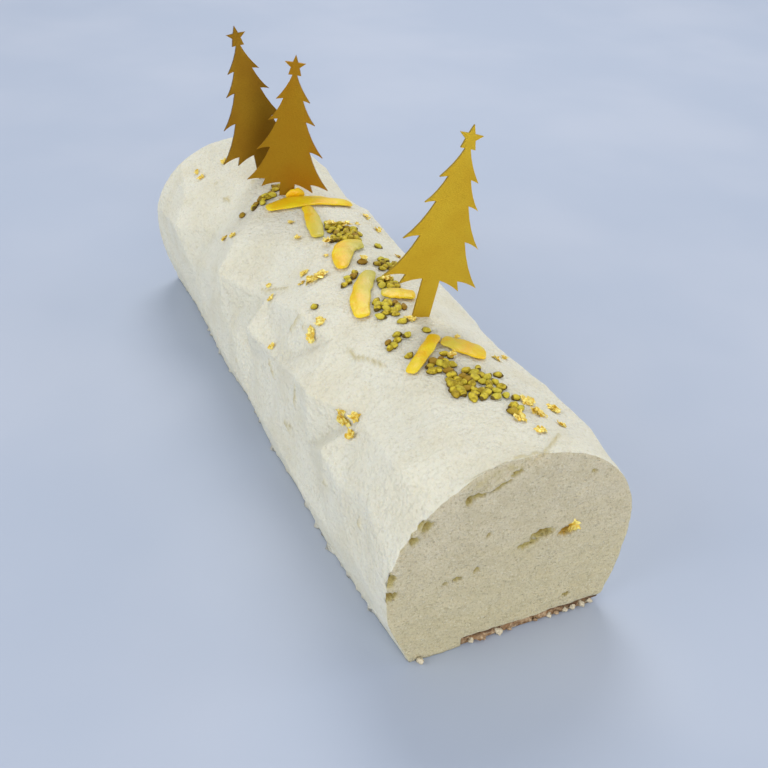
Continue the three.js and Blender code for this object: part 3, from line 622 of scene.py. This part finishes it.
velvet = Finish(
    "velvet_mousse", Roughness=0.88, Specular_IOR_Level=0.25,
    Subsurface_Weight=0.25, Subsurface_Scale=0.004, Subsurface_Radius=(1, 0.85, 0.6),
)
fleck = velvet.speckle(1.1, 3, 0.6)
mottle = velvet.speckle(14, 3).between(0.35, 0.7)
velvet_tone = velvet.blend(mottle, linear(231, 228, 210), linear(226, 221, 199))
velvet_tone = velvet.blend(fleck.between(0.52, 0.75) * 0.6, velvet_tone, linear(205, 197, 170))
# The torn tone: the yellower mousse where the skin is broken, painted shade in cracks and pits, and
# painted golden reflection and shade low on the front of the foot
velvet_tone = velvet.blend(velvet.painted("torn_and_shade"), velvet_tone, linear(188, 172, 112))
velvet_grain = velvet.speckle(0.7) * 0.5 + velvet.speckle(2.4) * 1.5 + velvet.cells(1.4) * 0.6
velvet_mousse = velvet.wear(colour=velvet_tone, height=velvet_grain, depth=0.8)

cut = Finish(
    "cut_mousse", Roughness=0.85, Specular_IOR_Level=0.25,
    Subsurface_Weight=0.2, Subsurface_Scale=0.004, Subsurface_Radius=(1, 0.85, 0.6),
)
clouds = cut.speckle(6, 4, 0.6).between(0.3, 0.7)
# Painted warm reflection from below: the cut face turns yellower and a little darker towards the bottom
painted_board_reflection = 0.5 - cut.height().between(0.01, 0.055) * 0.5
dark_flecks = cut.speckle(0.8, 3, 0.7).between(0.5, 0.66) * 0.75
pale_flecks = 0.6 - cut.speckle(0.65, 2, 0.6).between(0.3, 0.44) * 0.6
warm_patches = cut.speckle(22).between(0.58, 0.72) * 0.4
torn_and_shade_cut = cut.painted("torn_and_shade")
cut_tone = cut.blend(clouds, linear(213, 202, 171), linear(223, 213, 185))
cut_tone = cut.blend(painted_board_reflection, cut_tone, linear(214, 203, 160))
cut_tone = cut.blend(dark_flecks, cut_tone, linear(188, 176, 138))
cut_tone = cut.blend(pale_flecks, cut_tone, linear(234, 230, 212))
cut_tone = cut.blend(warm_patches, cut_tone, linear(216, 204, 160))
# The torn tone of hollows, tears and the chip: partly the torn mousse's own colour, partly painted shade
# that deepens with a hollow's depth
cut_tone = cut.blend((torn_and_shade_cut * 1.2).between(0, 0.6), cut_tone, linear(198, 184, 122))
cut_tone = cut.blend(torn_and_shade_cut.between(0.5, 1) * 0.8, cut_tone, linear(156, 128, 50))
# Painted golden reflection of the leaf flake in the hollow beside it
cut_tone = cut.blend(cut.painted("flake_reflection") * 0.9, cut_tone, linear(224, 182, 78))
cut_grain = cut.speckle(0.9, 3, 0.7) * 1.2 + cut.cells(1.3).between(0, 0.4) * 0.5
cut_mousse = cut.wear(colour=cut_tone, height=cut_grain, depth=1.0)

mousse = show("mousse_log_skin", mousse_bm, [velvet_mousse, cut_mousse])
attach(mousse, "root")
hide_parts("mousse_log")

# The card trees: stiff card with gold foil on both faces, stamped to one outline, their
# trunks pushed into the log. The foil takes the fine fibre of the card under it. The two rear
# trees are given darker gold tones than the front one: painted shade for their dimmer reflections.
FIBRE_STRETCH = (1, 1, 3.5)
# The finish of each tree: its name and its light, warm and dark tone
FOIL_TONES = {
    "tree_topper_front": ("gold_card", (198, 168, 46), (190, 155, 37), (162, 126, 26)),
    # The rear trees' darker tones are painted shade on the same gold card
    "tree_topper_rear_left": ("gold_card_shaded", (142, 109, 22), (134, 97, 17), (108, 75, 12)),
    "tree_topper_rear_right": ("gold_card_painted_dim", (174, 131, 25), (170, 119, 19), (142, 98, 14)),
}


def foil_finish(name, light, warm, dark):
    """Gold foil with a slow sheen between two tones and the darker fibre of the card."""
    gold = Finish(name, Metallic=0.85, Roughness=0.4)
    inputs = {"Vector": gold.object, "Scale": FIBRE_STRETCH}
    fibre_place = gold.node("ShaderNodeMapping", None, inputs)
    fibre = gold.speckle(0.7, 3, 0.6, where=fibre_place)
    tone = gold.blend(gold.speckle(16).between(0.3, 0.7), linear(*warm), linear(*light))
    tone = gold.blend(fibre.between(0.45, 0.8) * 0.5, tone, linear(*dark))
    return gold.wear(colour=tone, roughness=0.36 + fibre * 0.16, height=fibre, depth=0.12)


for tree, tones in FOIL_TONES.items():
    foil = foil_finish(*tones)
    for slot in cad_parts[tree].material_slots:
        slot.material = foil

# The biscuit: a thin baked sponge sheet under the right of the log. Its front edge lies about
# flush with the cut face, crumbled where the knife went through, with crumbs before it.
BISCUIT_LENGTH = LENGTH - 1.6
BISCUIT_MIDDLE = (BISCUIT_LEFT + BISCUIT_RIGHT) / 2
BISCUIT_CELLS = 1.5
BISCUIT_FLOORS = 4
BISCUIT_EDGE = 0.1
CRUMBLE_FINE = (1.8, 1.7, 0)
CRUMBLE_COARSE = (5, 1.4, 2)
CRUMBLE_BACK = 0.6
# Where the front edge bulges out: the bulge's middle, half width, depth and lean
BULGE = (-7, 10, 1.2, 0.2)
CRUMB_LUMPS = (0.8, 0.5)
CRUMB_BACK = 0.8
CRUMB_HEIGHT = 0.42
# The crumbs at the front edge: x, how far in (below 0 is out), size, 1 for mousse or 0 for biscuit
CRUMBS = [
    (-11.4, -1.2, 1.8, 1), (-7, -1.6, 1.2, 0), (-1.4, -1.2, 2.4, 1), (-1.2, -1.4, 1.6, 1),
    (2.6, -1, 1.3, 0), (12.4, -1, 1.2, 0), (17.6, -0.8, 1.6, 1), (20.4, -1, 1.4, 0),
    (23.6, -1, 2, 1), (26.8, -0.8, 2.2, 1), (30.4, -0.8, 2.2, 1), (33.4, -0.4, 2, 1),
    (-30, -2.6, 1.9, 1),
]

biscuit_bm = bmesh.new()
wide = BISCUIT_RIGHT - BISCUIT_LEFT
bmesh.ops.create_grid(
    biscuit_bm, size=0.5,
    x_segments=round(wide / BISCUIT_CELLS), y_segments=round(BISCUIT_LENGTH / BISCUIT_CELLS),
)
bmesh.ops.scale(biscuit_bm, vec=(wide, BISCUIT_LENGTH, 1), verts=biscuit_bm.verts)
bmesh.ops.translate(biscuit_bm, vec=(BISCUIT_MIDDLE, 0, 0), verts=biscuit_bm.verts)
sheet_rim = [edge for edge in biscuit_bm.edges if edge.is_boundary]
for _ in range(BISCUIT_FLOORS):
    raised = bmesh.ops.extrude_edge_only(biscuit_bm, edges=sheet_rim)["geom"]
    lifted = [part for part in raised if isinstance(part, bmesh.types.BMVert)]
    bmesh.ops.translate(biscuit_bm, vec=(0, 0, BISCUIT_THICK / BISCUIT_FLOORS), verts=lifted)
    sheet_rim = [part for part in raised if isinstance(part, bmesh.types.BMEdge)]
bmesh.ops.edgenet_fill(biscuit_bm, edges=sheet_rim)
bmesh.ops.recalc_face_normals(biscuit_bm, faces=biscuit_bm.faces)
biscuit_bm.normal_update()
biscuit_front = -BISCUIT_LENGTH / 2
bulge_middle, bulge_half, bulge_depth, bulge_lean = BULGE
for vert in biscuit_bm.verts:
    sideways = Vector((vert.normal.x, vert.normal.y, 0))
    crumble = lumps(vert.co, *CRUMBLE_FINE) + lumps(vert.co, *CRUMBLE_COARSE) - CRUMBLE_BACK
    if vert.co.y < biscuit_front + BISCUIT_EDGE:
        bulge = bulge_depth * ease(1 - abs(vert.co.x - bulge_middle) / bulge_half)
        crumble += bulge * (1 - bulge_lean * vert.co.z)
    if sideways.length > 0.5 and vert.co.z > BISCUIT_EDGE:
        vert.co += sideways.normalized() * crumble
pallor = biscuit_bm.verts.layers.float.new("pallor")
for x, off, size, is_mousse in CRUMBS:
    crumb = bmesh.ops.create_icosphere(biscuit_bm, subdivisions=2, radius=size / 2)["verts"]
    for vert in crumb:
        vert.co += vert.co.normalized() * lumps(vert.co + Vector((x, 0, 0)), *CRUMB_LUMPS) * size
        vert[pallor] = is_mousse
    crumb_place = (x, biscuit_front + off + CRUMB_BACK, size * CRUMB_HEIGHT)
    bmesh.ops.translate(biscuit_bm, vec=crumb_place, verts=crumb)

baked = Finish("baked_biscuit", Roughness=0.92)
crumb_cells = baked.cells(1.1)
browning = baked.speckle(2.4, 4, 0.7).between(0.35, 0.65)
# Painted shadow: the biscuit's top, in the gap under the mousse, turns dark brown
painted_gap_shadow = (baked.height() * (1 / MM) + baked.speckle(3) * 2).between(2.6, 3.6)
baked_tone = baked.blend(browning, linear(158, 122, 84), linear(214, 190, 156))
baked_tone = baked.blend(crumb_cells.between(0.25, 0.6) * 0.5, baked_tone, linear(126, 84, 46))
baked_tone = baked.blend(painted_gap_shadow * 0.85, baked_tone, linear(84, 54, 26))
baked_tone = baked.blend(baked.painted("pallor"), baked_tone, linear(226, 214, 186))
biscuit_finish = baked.wear(colour=baked_tone, height=crumb_cells + baked.speckle(0.6, 3), depth=0.5)
biscuit = show("biscuit_sheet", biscuit_bm, [biscuit_finish])
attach(biscuit, "root")
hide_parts("biscuit_base")

# The candied peel: strips of orange and lemon peel cooked in syrup, glossy and translucent,
# with an orange zest side and a paler pith, laid on the crest by hand.
PEEL_THICK = 1.7
# How many times higher the middle of a curled strip stands than its ends
PEEL_RAISED = {"peel_rear_nub": 2.6}
# The middle line of each strip, unrolled on the skin: y, distance round and width
PEEL_STRIPS = {
    "peel_rear_bar": [
        (50.4, -15.5, 6.2), (50.2, -10, 8.4), (49.6, -4.5, 9.4),
        (48.6, 1.6, 9.2), (48.2, 7.5, 8.2), (47.4, 14.5, 7), (48.6, 21.5, 5.4),
    ],
    "peel_rear_stem": [
        (43.3, -0.6, 4.6), (37, -1.2, 5.6), (29, -2.8, 6.2), (21, -4.6, 6.2), (15.6, -5.8, 5),
    ],
    "peel_rear_nub": [(55.8, -5, 1.4), (55.7, -2.4, 2.4), (55.2, 0.4, 2.6), (54.9, 3, 1.4)],
    "peel_comma": [
        (4.6, 8.4, 6.4), (5, 5, 8.6), (3.8, 1.4, 8.8),
        (0.2, -1.6, 8), (-5, -4.2, 7.2), (-12, -6.9, 3.8),
    ],
    "peel_crescent": [
        (-17.8, 2, 3.8), (-22.8, -1.9, 6),
        (-29.4, -6.4, 7), (-37, -10.4, 6.8), (-46, -12.9, 5.6),
    ],
    "peel_by_trunk": [(-34.2, -1.2, 4.4), (-35.4, 1.8, 7), (-36.8, 5.4, 7.6), (-39, 10.2, 6)],
    "peel_front_long": [
        (-83, -12.6, 3.8), (-79.4, -8.4, 4.6),
        (-75.4, -4, 4.6), (-70.8, 0.6, 4.6), (-66.8, 4.2, 4),
    ],
    "peel_front_short": [
        (-70.1, 4.8, 5.6), (-73.2, 8, 8), (-76, 11, 9.8), (-78, 13.8, 10.8), (-79.6, 16.8, 8.6),
    ],
}
# How much of the pith tone each strip shows at its start, at its end and how much more on one side
# than the other; the pith tone also serves as painted shade on the strips the window lights most
PEEL_PITH_AND_SHADE = {
    "peel_rear_bar": (0.15, 0, -0.2), "peel_rear_stem": (0.3, 0.8, -0.4), "peel_rear_nub": (0.1, 0.1, 0),
    "peel_comma": (0.8, 0.1, -0.8), "peel_crescent": (1, 0.1, -0.5), "peel_by_trunk": (0.8, -0.1, -0.5),
    "peel_front_long": (0.2, 0, 0.4), "peel_front_short": (0.6, -0.1, 0.2),
}
PEEL_STEPS = 8
PEEL_SIDES = 20
PEEL_CLEAR = 0.35
PEEL_TAPER_STEPS = 4
PEEL_TAPER_POWER = 2.5
PEEL_END_WIDTH = 0.3
PEEL_EDGE_HEIGHT = 0.65
PEEL_WAVER = 0.18
PEEL_MERGE_WITHIN = 0.02
# The powers that square a strip's section off, across it and upwards
PEEL_SQUARED = (0.75, 0.6)
# The least height of a strip, and how much it swells
PEEL_SWELL = (0.85, 0.2)


def along_strip(points, part):
    """A point of a smooth line through a strip's points, at a part of its way from 0 to 1."""
    place = part * (len(points) - 1)
    i = min(int(place), len(points) - 2)
    t = place - i
    nearby = [min(max(k, 0), len(points) - 1) for k in (i - 1, i, i + 1, i + 2)]
    a, b, c, d = (np.array(points[k], float) for k in nearby)
    bend = 2 * a - 5 * b + 4 * c - d
    twist = 3 * b - a - 3 * c + d
    return 0.5 * (2 * b + (c - a) * t + bend * t * t + twist * t ** 3)


def squarer(wave, power):
    """A sine or cosine that stays near 1 and -1 for longer, for a section with flatter sides."""
    return math.copysign(abs(wave) ** power, wave)


def peel_strip(name, points):
    """A grid rolled round the strip's middle line, with rounded edges and closed ends."""
    steps = PEEL_STEPS * (len(points) - 1)
    bm = bmesh.new()
    bmesh.ops.create_grid(bm, x_segments=steps, y_segments=PEEL_SIDES, size=0.5)
    pith_and_shade_layer = bm.verts.layers.float.new("pith_and_shade")
    seed = sum(map(ord, name)) * 0.37
    laid = []
    for vert in bm.verts:
        part = vert.co.x + 0.5
        turn = vert.co.y * 2 * math.pi
        y, around, width = along_strip(points, part)
        ahead = along_strip(points, min(1, part + 0.01)) - along_strip(points, max(0, part - 0.01))
        heading = Vector((ahead[0], ahead[1])).normalized()
        end = min(part, 1 - part) * steps
        taper = max(0, 1 - end / PEEL_TAPER_STEPS) ** PEEL_TAPER_POWER
        taper = math.sqrt(max(0, 1 - taper))
        width *= 1 + PEEL_WAVER * noise.noise(Vector((part * 6, seed, 0)))
        width *= PEEL_END_WIDTH + (1 - PEEL_END_WIDTH) * taper
        across = squarer(math.sin(turn), PEEL_SQUARED[0]) * width / 2
        middle = 1 - (across * 2 / width) ** 2
        high = squarer(math.cos(turn), PEEL_SQUARED[1]) * taper
        high *= PEEL_EDGE_HEIGHT + (1 - PEEL_EDGE_HEIGHT) * middle
        high = (high + 1) / 2 * (1 + (PEEL_RAISED.get(name, 1) - 1) * math.sin(math.pi * part))
        swell = noise.noise(Vector((part * 5, across * 0.4, seed)))
        swell = PEEL_SWELL[0] + PEEL_SWELL[1] * swell
        lift = PEEL_CLEAR + PEEL_THICK * high * swell
        laid.append((y - heading.y * across, around + heading.x * across, lift))
        pale_start, pale_end, pale_right = PEEL_PITH_AND_SHADE[name]
        vert[pith_and_shade_layer] = pale_start + (pale_end - pale_start) * part + pale_right * across / width
    y, around, lift = np.array(laid).T
    place, _, _, out = skin_frames(y, around)
    for vert, point in zip(bm.verts, place + out * lift[:, None]):
        vert.co = point
    bmesh.ops.remove_doubles(bm, verts=bm.verts, dist=PEEL_MERGE_WITHIN)
    bmesh.ops.holes_fill(bm, edges=[edge for edge in bm.edges if edge.is_boundary])
    bmesh.ops.recalc_face_normals(bm, faces=bm.faces)
    return bm


zest = Finish(
    "candied_peel", Specular_IOR_Level=0.35, Coat_Weight=0.1, Coat_Roughness=0.2,
    Subsurface_Weight=0.4, Subsurface_Scale=0.003, Subsurface_Radius=(1, 0.9, 0.4),
)
flesh = zest.speckle(5, 3, 0.6)
# The pith tone: the paler pith, and painted shade that dims the strips the window lights most
pith_and_shade = (zest.painted("pith_and_shade") + flesh * 0.3 - 0.15).between(0.1, 1)
zest_tone = zest.blend(flesh.between(0.35, 0.65), linear(246, 192, 18), linear(246, 212, 30))
zest_tone = zest.blend(pith_and_shade, zest_tone, linear(198, 188, 82))
zest_dents = zest.cells(0.9) + flesh * 2
candied = zest.wear(colour=zest_tone, roughness=0.3 + flesh * 0.16, height=zest_dents, depth=0.12)
for peel_name, peel_points in PEEL_STRIPS.items():
    strip = show(peel_name + "_strip", peel_strip(peel_name, peel_points), [candied])
    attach(strip, "root")
    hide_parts(peel_name)

# The chopped nuts: peeled green pistachios chopped to chips 3 to 5 mm long, some with a scrap
# of brown skin, dropped in small heaps along the crest and lightly pressed in.
# Each scatter: y, distance round, reach and number of nuts
NUT_SCATTERS = [
    (-97, 3.2, 8.6, 33), (-79.8, 1.2, 3, 4), (-83.4, -4.4, 3, 5), (-86, -0.2, 2.2, 3),
    (-112, 8.8, 2.4, 3), (-105, 10.4, 3.4, 2), (-93.3, 14, 1, 1), (-88.2, 9.6, 1, 1),
    (-74.2, -7.2, 1.6, 2), (-63.4, -7, 3, 3), (-63.4, 2.6, 1.6, 2), (-63, -12.4, 4, 3),
    (-54, -1.4, 1, 1), (-46.3, 2.2, 1, 1), (-44, -4.4, 5.6, 14), (-27.4, 3.2, 4.2, 10),
    (-12.6, 9.6, 4.4, 9), (-8.8, 2.8, 1.8, 2), (-14, 3.2, 0.9, 1), (-16.8, -2.8, 2.2, 3),
    (-19.8, -6.9, 2, 3), (-22.6, -10, 0.9, 1), (4.2, 14.4, 0.8, 1), (-29.1, -23.4, 1, 1),
    (17.2, 3, 8.4, 30), (62.5, -24.3, 1, 1), (58, -16.2, 2.8, 4), (62.2, -11.2, 2.8, 5),
    (65.8, -5.6, 2.8, 6),
]
NUT_RADII = (1.85, 1.38, 1.2)
NUT_TAPER = 0.18
NUT_LUMPS = (0.9, 0.32)
# A nut's least size, and how much larger it may be
NUT_SIZES = (0.85, 0.35)
NUT_TILT = 0.5
NUT_HEIGHT = 0.55
NUT_SEED = 2024
RIND_SEED = 5
# Where the brown skin starts and over what length it comes in at one end, and where the painted
# shade starts and over what length it comes in underneath
# RIND_END = (0.45, 0.4)
RIND_END = (0.45, 0.4)
NUT_UNDERSIDE_SHADE = (0.25, 0.6)
NUT_APART = 1.9
NUT_TRIES = 40
NUT_CLEAR_OF_PEEL = 1.9
NUT_CLEAR_OF_TREES = 5.4
# Where the trees stand: y and distance round
TREE_FEET = [(-52.2, 5.9), (81.5, -5.5), (59.5, -3.4)]


def clear_of_peel(y, around):
    """The distance to the middle of the nearest strip of peel, less half its width."""
    nearest = math.inf
    for points in PEEL_STRIPS.values():
        for (y0, around0, width0), (y1, around1, width1) in zip(points, points[1:]):
            step = Vector((y1 - y0, around1 - around0))
            off = Vector((y - y0, around - around0))
            part = min(1, max(0, off.dot(step) / step.length_squared))
            nearest = min(nearest, (off - step * part).length - max(width0, width1) / 2)
    return nearest


def nut_places():
    """Each nut's y, distance round, size, turn and tilt, clear of the peel and the trees."""
    draw = seeded(NUT_SEED)
    placed = []
    for middle_y, middle_around, reach, number in NUT_SCATTERS:
        for _ in range(number):
            for _ in range(NUT_TRIES):
                angle = 2 * math.pi * next(draw)
                away = reach * math.sqrt(next(draw))
                y = middle_y + away * math.cos(angle)
                around = middle_around + away * math.sin(angle)
                if any(math.dist((y, around), nut[:2]) <= NUT_APART for nut in placed):
                    continue
                if clear_of_peel(y, around) < NUT_CLEAR_OF_PEEL:
                    continue
                if min(math.dist((y, around), foot) for foot in TREE_FEET) < NUT_CLEAR_OF_TREES:
                    continue
                size = NUT_SIZES[0] + NUT_SIZES[1] * next(draw)
                spin = math.pi * next(draw)
                placed.append((y, around, size, spin, NUT_TILT * (next(draw) - 0.5)))
                break
    return placed


nuts_bm = bmesh.new()
kind = nuts_bm.verts.layers.float.new("kind")
rind_and_shade = nuts_bm.verts.layers.float.new("rind_and_shade")
rind_draw = seeded(RIND_SEED)
for y, around, size, spin, tilt in nut_places():
    place, along, side, out = skin_frame(y, around)
    chip = bmesh.ops.create_uvsphere(nuts_bm, u_segments=8, v_segments=6, radius=1)["verts"]
    skinned_end = math.copysign(1, next(rind_draw) - 0.5)
    laid_flat = Matrix((along, side, out)).transposed()
    turned = laid_flat @ Matrix.Rotation(spin, 3, "Z") @ Matrix.Rotation(tilt, 3, "Y")
    brown = next(rind_draw)
    for vert in chip:
        point = Vector((vert.co.z, vert.co.x, vert.co.y))
        slim = 1 - NUT_TAPER * abs(point.x)
        lens = Vector((point.x, point.y * slim, point.z * slim))
        lens *= 1 + lumps(point + Vector((y, around, 0)), *NUT_LUMPS)
        lens = Vector(length * radius * size for length, radius in zip(lens, NUT_RADII))
        vert.co = place + out * NUT_HEIGHT + turned @ lens
        vert[kind] = brown
        at_end = ease((point.x * skinned_end - RIND_END[0]) / RIND_END[1])
        # Brown skin at one end, and painted shade on the underside
        vert[rind_and_shade] = max(at_end, ease((NUT_UNDERSIDE_SHADE[0] - point.z) / NUT_UNDERSIDE_SHADE[1]))

nut = Finish(
    "chopped_pistachio", Roughness=0.5, Specular_IOR_Level=0.3,
    Subsurface_Weight=0.25, Subsurface_Scale=0.001, Subsurface_Radius=(0.8, 1, 0.3),
)
patch = nut.speckle(1.6, 3, 0.6)
pale_kind = (1 - nut.painted("kind")).between(0.55, 0.9) * 0.6
brown_kind = (nut.painted("kind") + patch * 0.4).between(0.92, 1.12) * 0.8
# The dark tone: real brown skin at one end, painted shade on the underside
rind_and_underside_shade = (nut.painted("rind_and_shade") + patch * 0.5 - 0.2).between(0.2, 0.7) * 0.9
nut_tone = nut.blend(patch.between(0.38, 0.62), linear(154, 130, 8), linear(218, 196, 54))
nut_tone = nut.blend(pale_kind, nut_tone, linear(218, 206, 70))
nut_tone = nut.blend(brown_kind, nut_tone, linear(146, 104, 20))
nut_tone = nut.blend(rind_and_underside_shade, nut_tone, linear(74, 50, 6))
pistachio = nut.wear(colour=nut_tone, height=nut.speckle(0.5, 3) + patch, depth=0.2)
nuts = show("chopped_nuts", nuts_bm, [pistachio])
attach(nuts, "root")
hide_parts("mousse_log")

# The gold leaf: edible leaf beaten to a film and torn off with tweezers, so that each flake
# is a little heap of crumpled scraps, stuck to the mousse and the nuts.
# Each flake: y, distance round and size
GOLD_FLAKES = [
    (109.3, -16.3, 1.8), (110.6, -29, 1.6), (116, -29.3, 1.4), (55, -37, 1.6), (46.8, -32.4, 1.6),
    (-10.4, -16.6, 3.8), (-1.8, -19.5, 1.8), (-1.3, -35.8, 1.6), (-38.9, -31.2, 2.8), (-38.3, -25, 2),
    (-19.2, -46.8, 1.6), (-79.2, -39.2, 3), (-83.2, -34.9, 1.8), (-86.3, -39.5, 2), (38.8, 25, 1.6),
    (29.7, 27.5, 1.6), (-2.2, 21.1, 1.7), (-53.6, 1.8, 2.2), (-116.7, 7.6, 2.2), (-108.7, 15.6, 2.4),
    (-114.3, 15.6, 2.4), (-109, 27.5, 2.8), (-124.1, 11, 1.5), (-120.5, 21.1, 1.5), (-78.4, 22.6, 1.5),
    (-75.3, 28.7, 1.4), (26.1, 15, 1.1), (-68.3, 11.8, 1.1), (34.6, -10.6, 1.2), (21.1, -13, 1.2),
    (1.8, -8.2, 1), (-8, -22.2, 1.2), (7.4, -32.8, 1.1),
]
FLAKES_ON_NUTS = [
    (-80.8, 3.4, 2), (23.2, 2.4, 1.8), (21.6, 8.2, 2), (9.6, -4.6, 1.8), (-8.6, 3.2, 1.8),
    (-26.4, 5, 2),
]
# How high above the skin the flakes of each list lie
FLAKES_AT = [(GOLD_FLAKES, 0.4), (FLAKES_ON_NUTS, 1.9)]
# The flake on the cut face: x, z, size and how far in
FACE_FLAKE = (20.2, 40, 2.6, 0.4)
LEAF_THICK = 0.08
LEAF_SPREAD = 0.85
LEAF_CELLS = 5
LEAF_SEED = 99
LEAF_CRUMPLE = 0.27
# The reach of a scrap's outline, and how far it is torn in and out
LEAF_OUTLINE = (0.8, 0.5)
LEAF_TILT = 1.1
LEAF_LAYERS = 0.4
# The number of scraps in a flake and a scrap's size: at size 0, and more per millimetre
SCRAP_NUMBER = (1.6, 1.7)
SCRAP_SIZE = (0.7, 0.65)
SCRAP_SIZE_VARIES = 0.6

leaf_bm = bmesh.new()
leaf_draw = seeded(LEAF_SEED)


def leaf_scrap(place, facing, size):
    """One crumpled scrap: a small grid with a torn outline, which gets the film's thickness later, with
    all the scraps.
    """
    grid = bmesh.ops.create_grid(leaf_bm, x_segments=LEAF_CELLS, y_segments=LEAF_CELLS, size=0.5)["verts"]
    seed = Vector((next(leaf_draw), next(leaf_draw), next(leaf_draw))) * 50
    for vert in grid:
        tear = noise.noise(vert.co.normalized() * 1.5 + seed)
        reach = LEAF_OUTLINE[0] + LEAF_OUTLINE[1] * tear
        crumple = noise.noise(vert.co * 1.8 + seed) * LEAF_CRUMPLE
        vert.co = place + facing @ Vector((vert.co.x * reach, vert.co.y * reach, crumple)) * size


def leaf_flake(frame_at, size, height):
    """A heap of scraps spread over size millimetres each way, at a height above the surface."""
    for _ in range(round(SCRAP_NUMBER[0] + SCRAP_NUMBER[1] * size)):
        off = [(next(leaf_draw) + next(leaf_draw) - 1) * size * LEAF_SPREAD for _ in range(2)]
        place, along, side, out = frame_at(*off)
        facing = Matrix((along, side, out)).transposed()
        facing = facing @ Matrix.Rotation(next(leaf_draw) * 2 * math.pi, 3, "Z")
        facing = facing @ Matrix.Rotation((next(leaf_draw) - 0.5) * LEAF_TILT, 3, "X")
        scrap_size = SCRAP_SIZE[0] + SCRAP_SIZE[1] * size
        scrap_size *= 1 + SCRAP_SIZE_VARIES * next(leaf_draw)
        leaf_scrap(place + out * (height + LEAF_LAYERS * next(leaf_draw)), facing, scrap_size)


def face_frame(x_off, z_off):
    """A place by the cut face's flake, with the directions across, up and out of the face."""
    x, z, _, inward = FACE_FLAKE
    place = Vector((x + x_off, CUT_Y + inward, z + z_off))
    return place, Vector((1, 0, 0)), Vector((0, 0, 1)), Vector((0, -1, 0))


for flakes_here, flake_height in FLAKES_AT:
    for y, around, size in flakes_here:
        leaf_flake(lambda a, b: skin_frame(y + a, around + b), size, flake_height)
leaf_flake(face_frame, FACE_FLAKE[2], 0)
bmesh.ops.solidify(leaf_bm, geom=leaf_bm.faces, thickness=LEAF_THICK)
bmesh.ops.recalc_face_normals(leaf_bm, faces=leaf_bm.faces)

leaf = Finish("gold_leaf", Metallic=0.3, Roughness=0.36)
glints = leaf.speckle(1.2).between(0.35, 0.65)
leaf_tone = leaf.blend(glints, linear(226, 184, 42), linear(255, 240, 140))
leaf_gold = leaf.wear(colour=leaf_tone, height=leaf.speckle(0.4, 3), depth=0.1)
flakes = show("gold_leaf_flakes", leaf_bm, [leaf_gold], smooth=False)
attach(flakes, "root")
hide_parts("mousse_log")
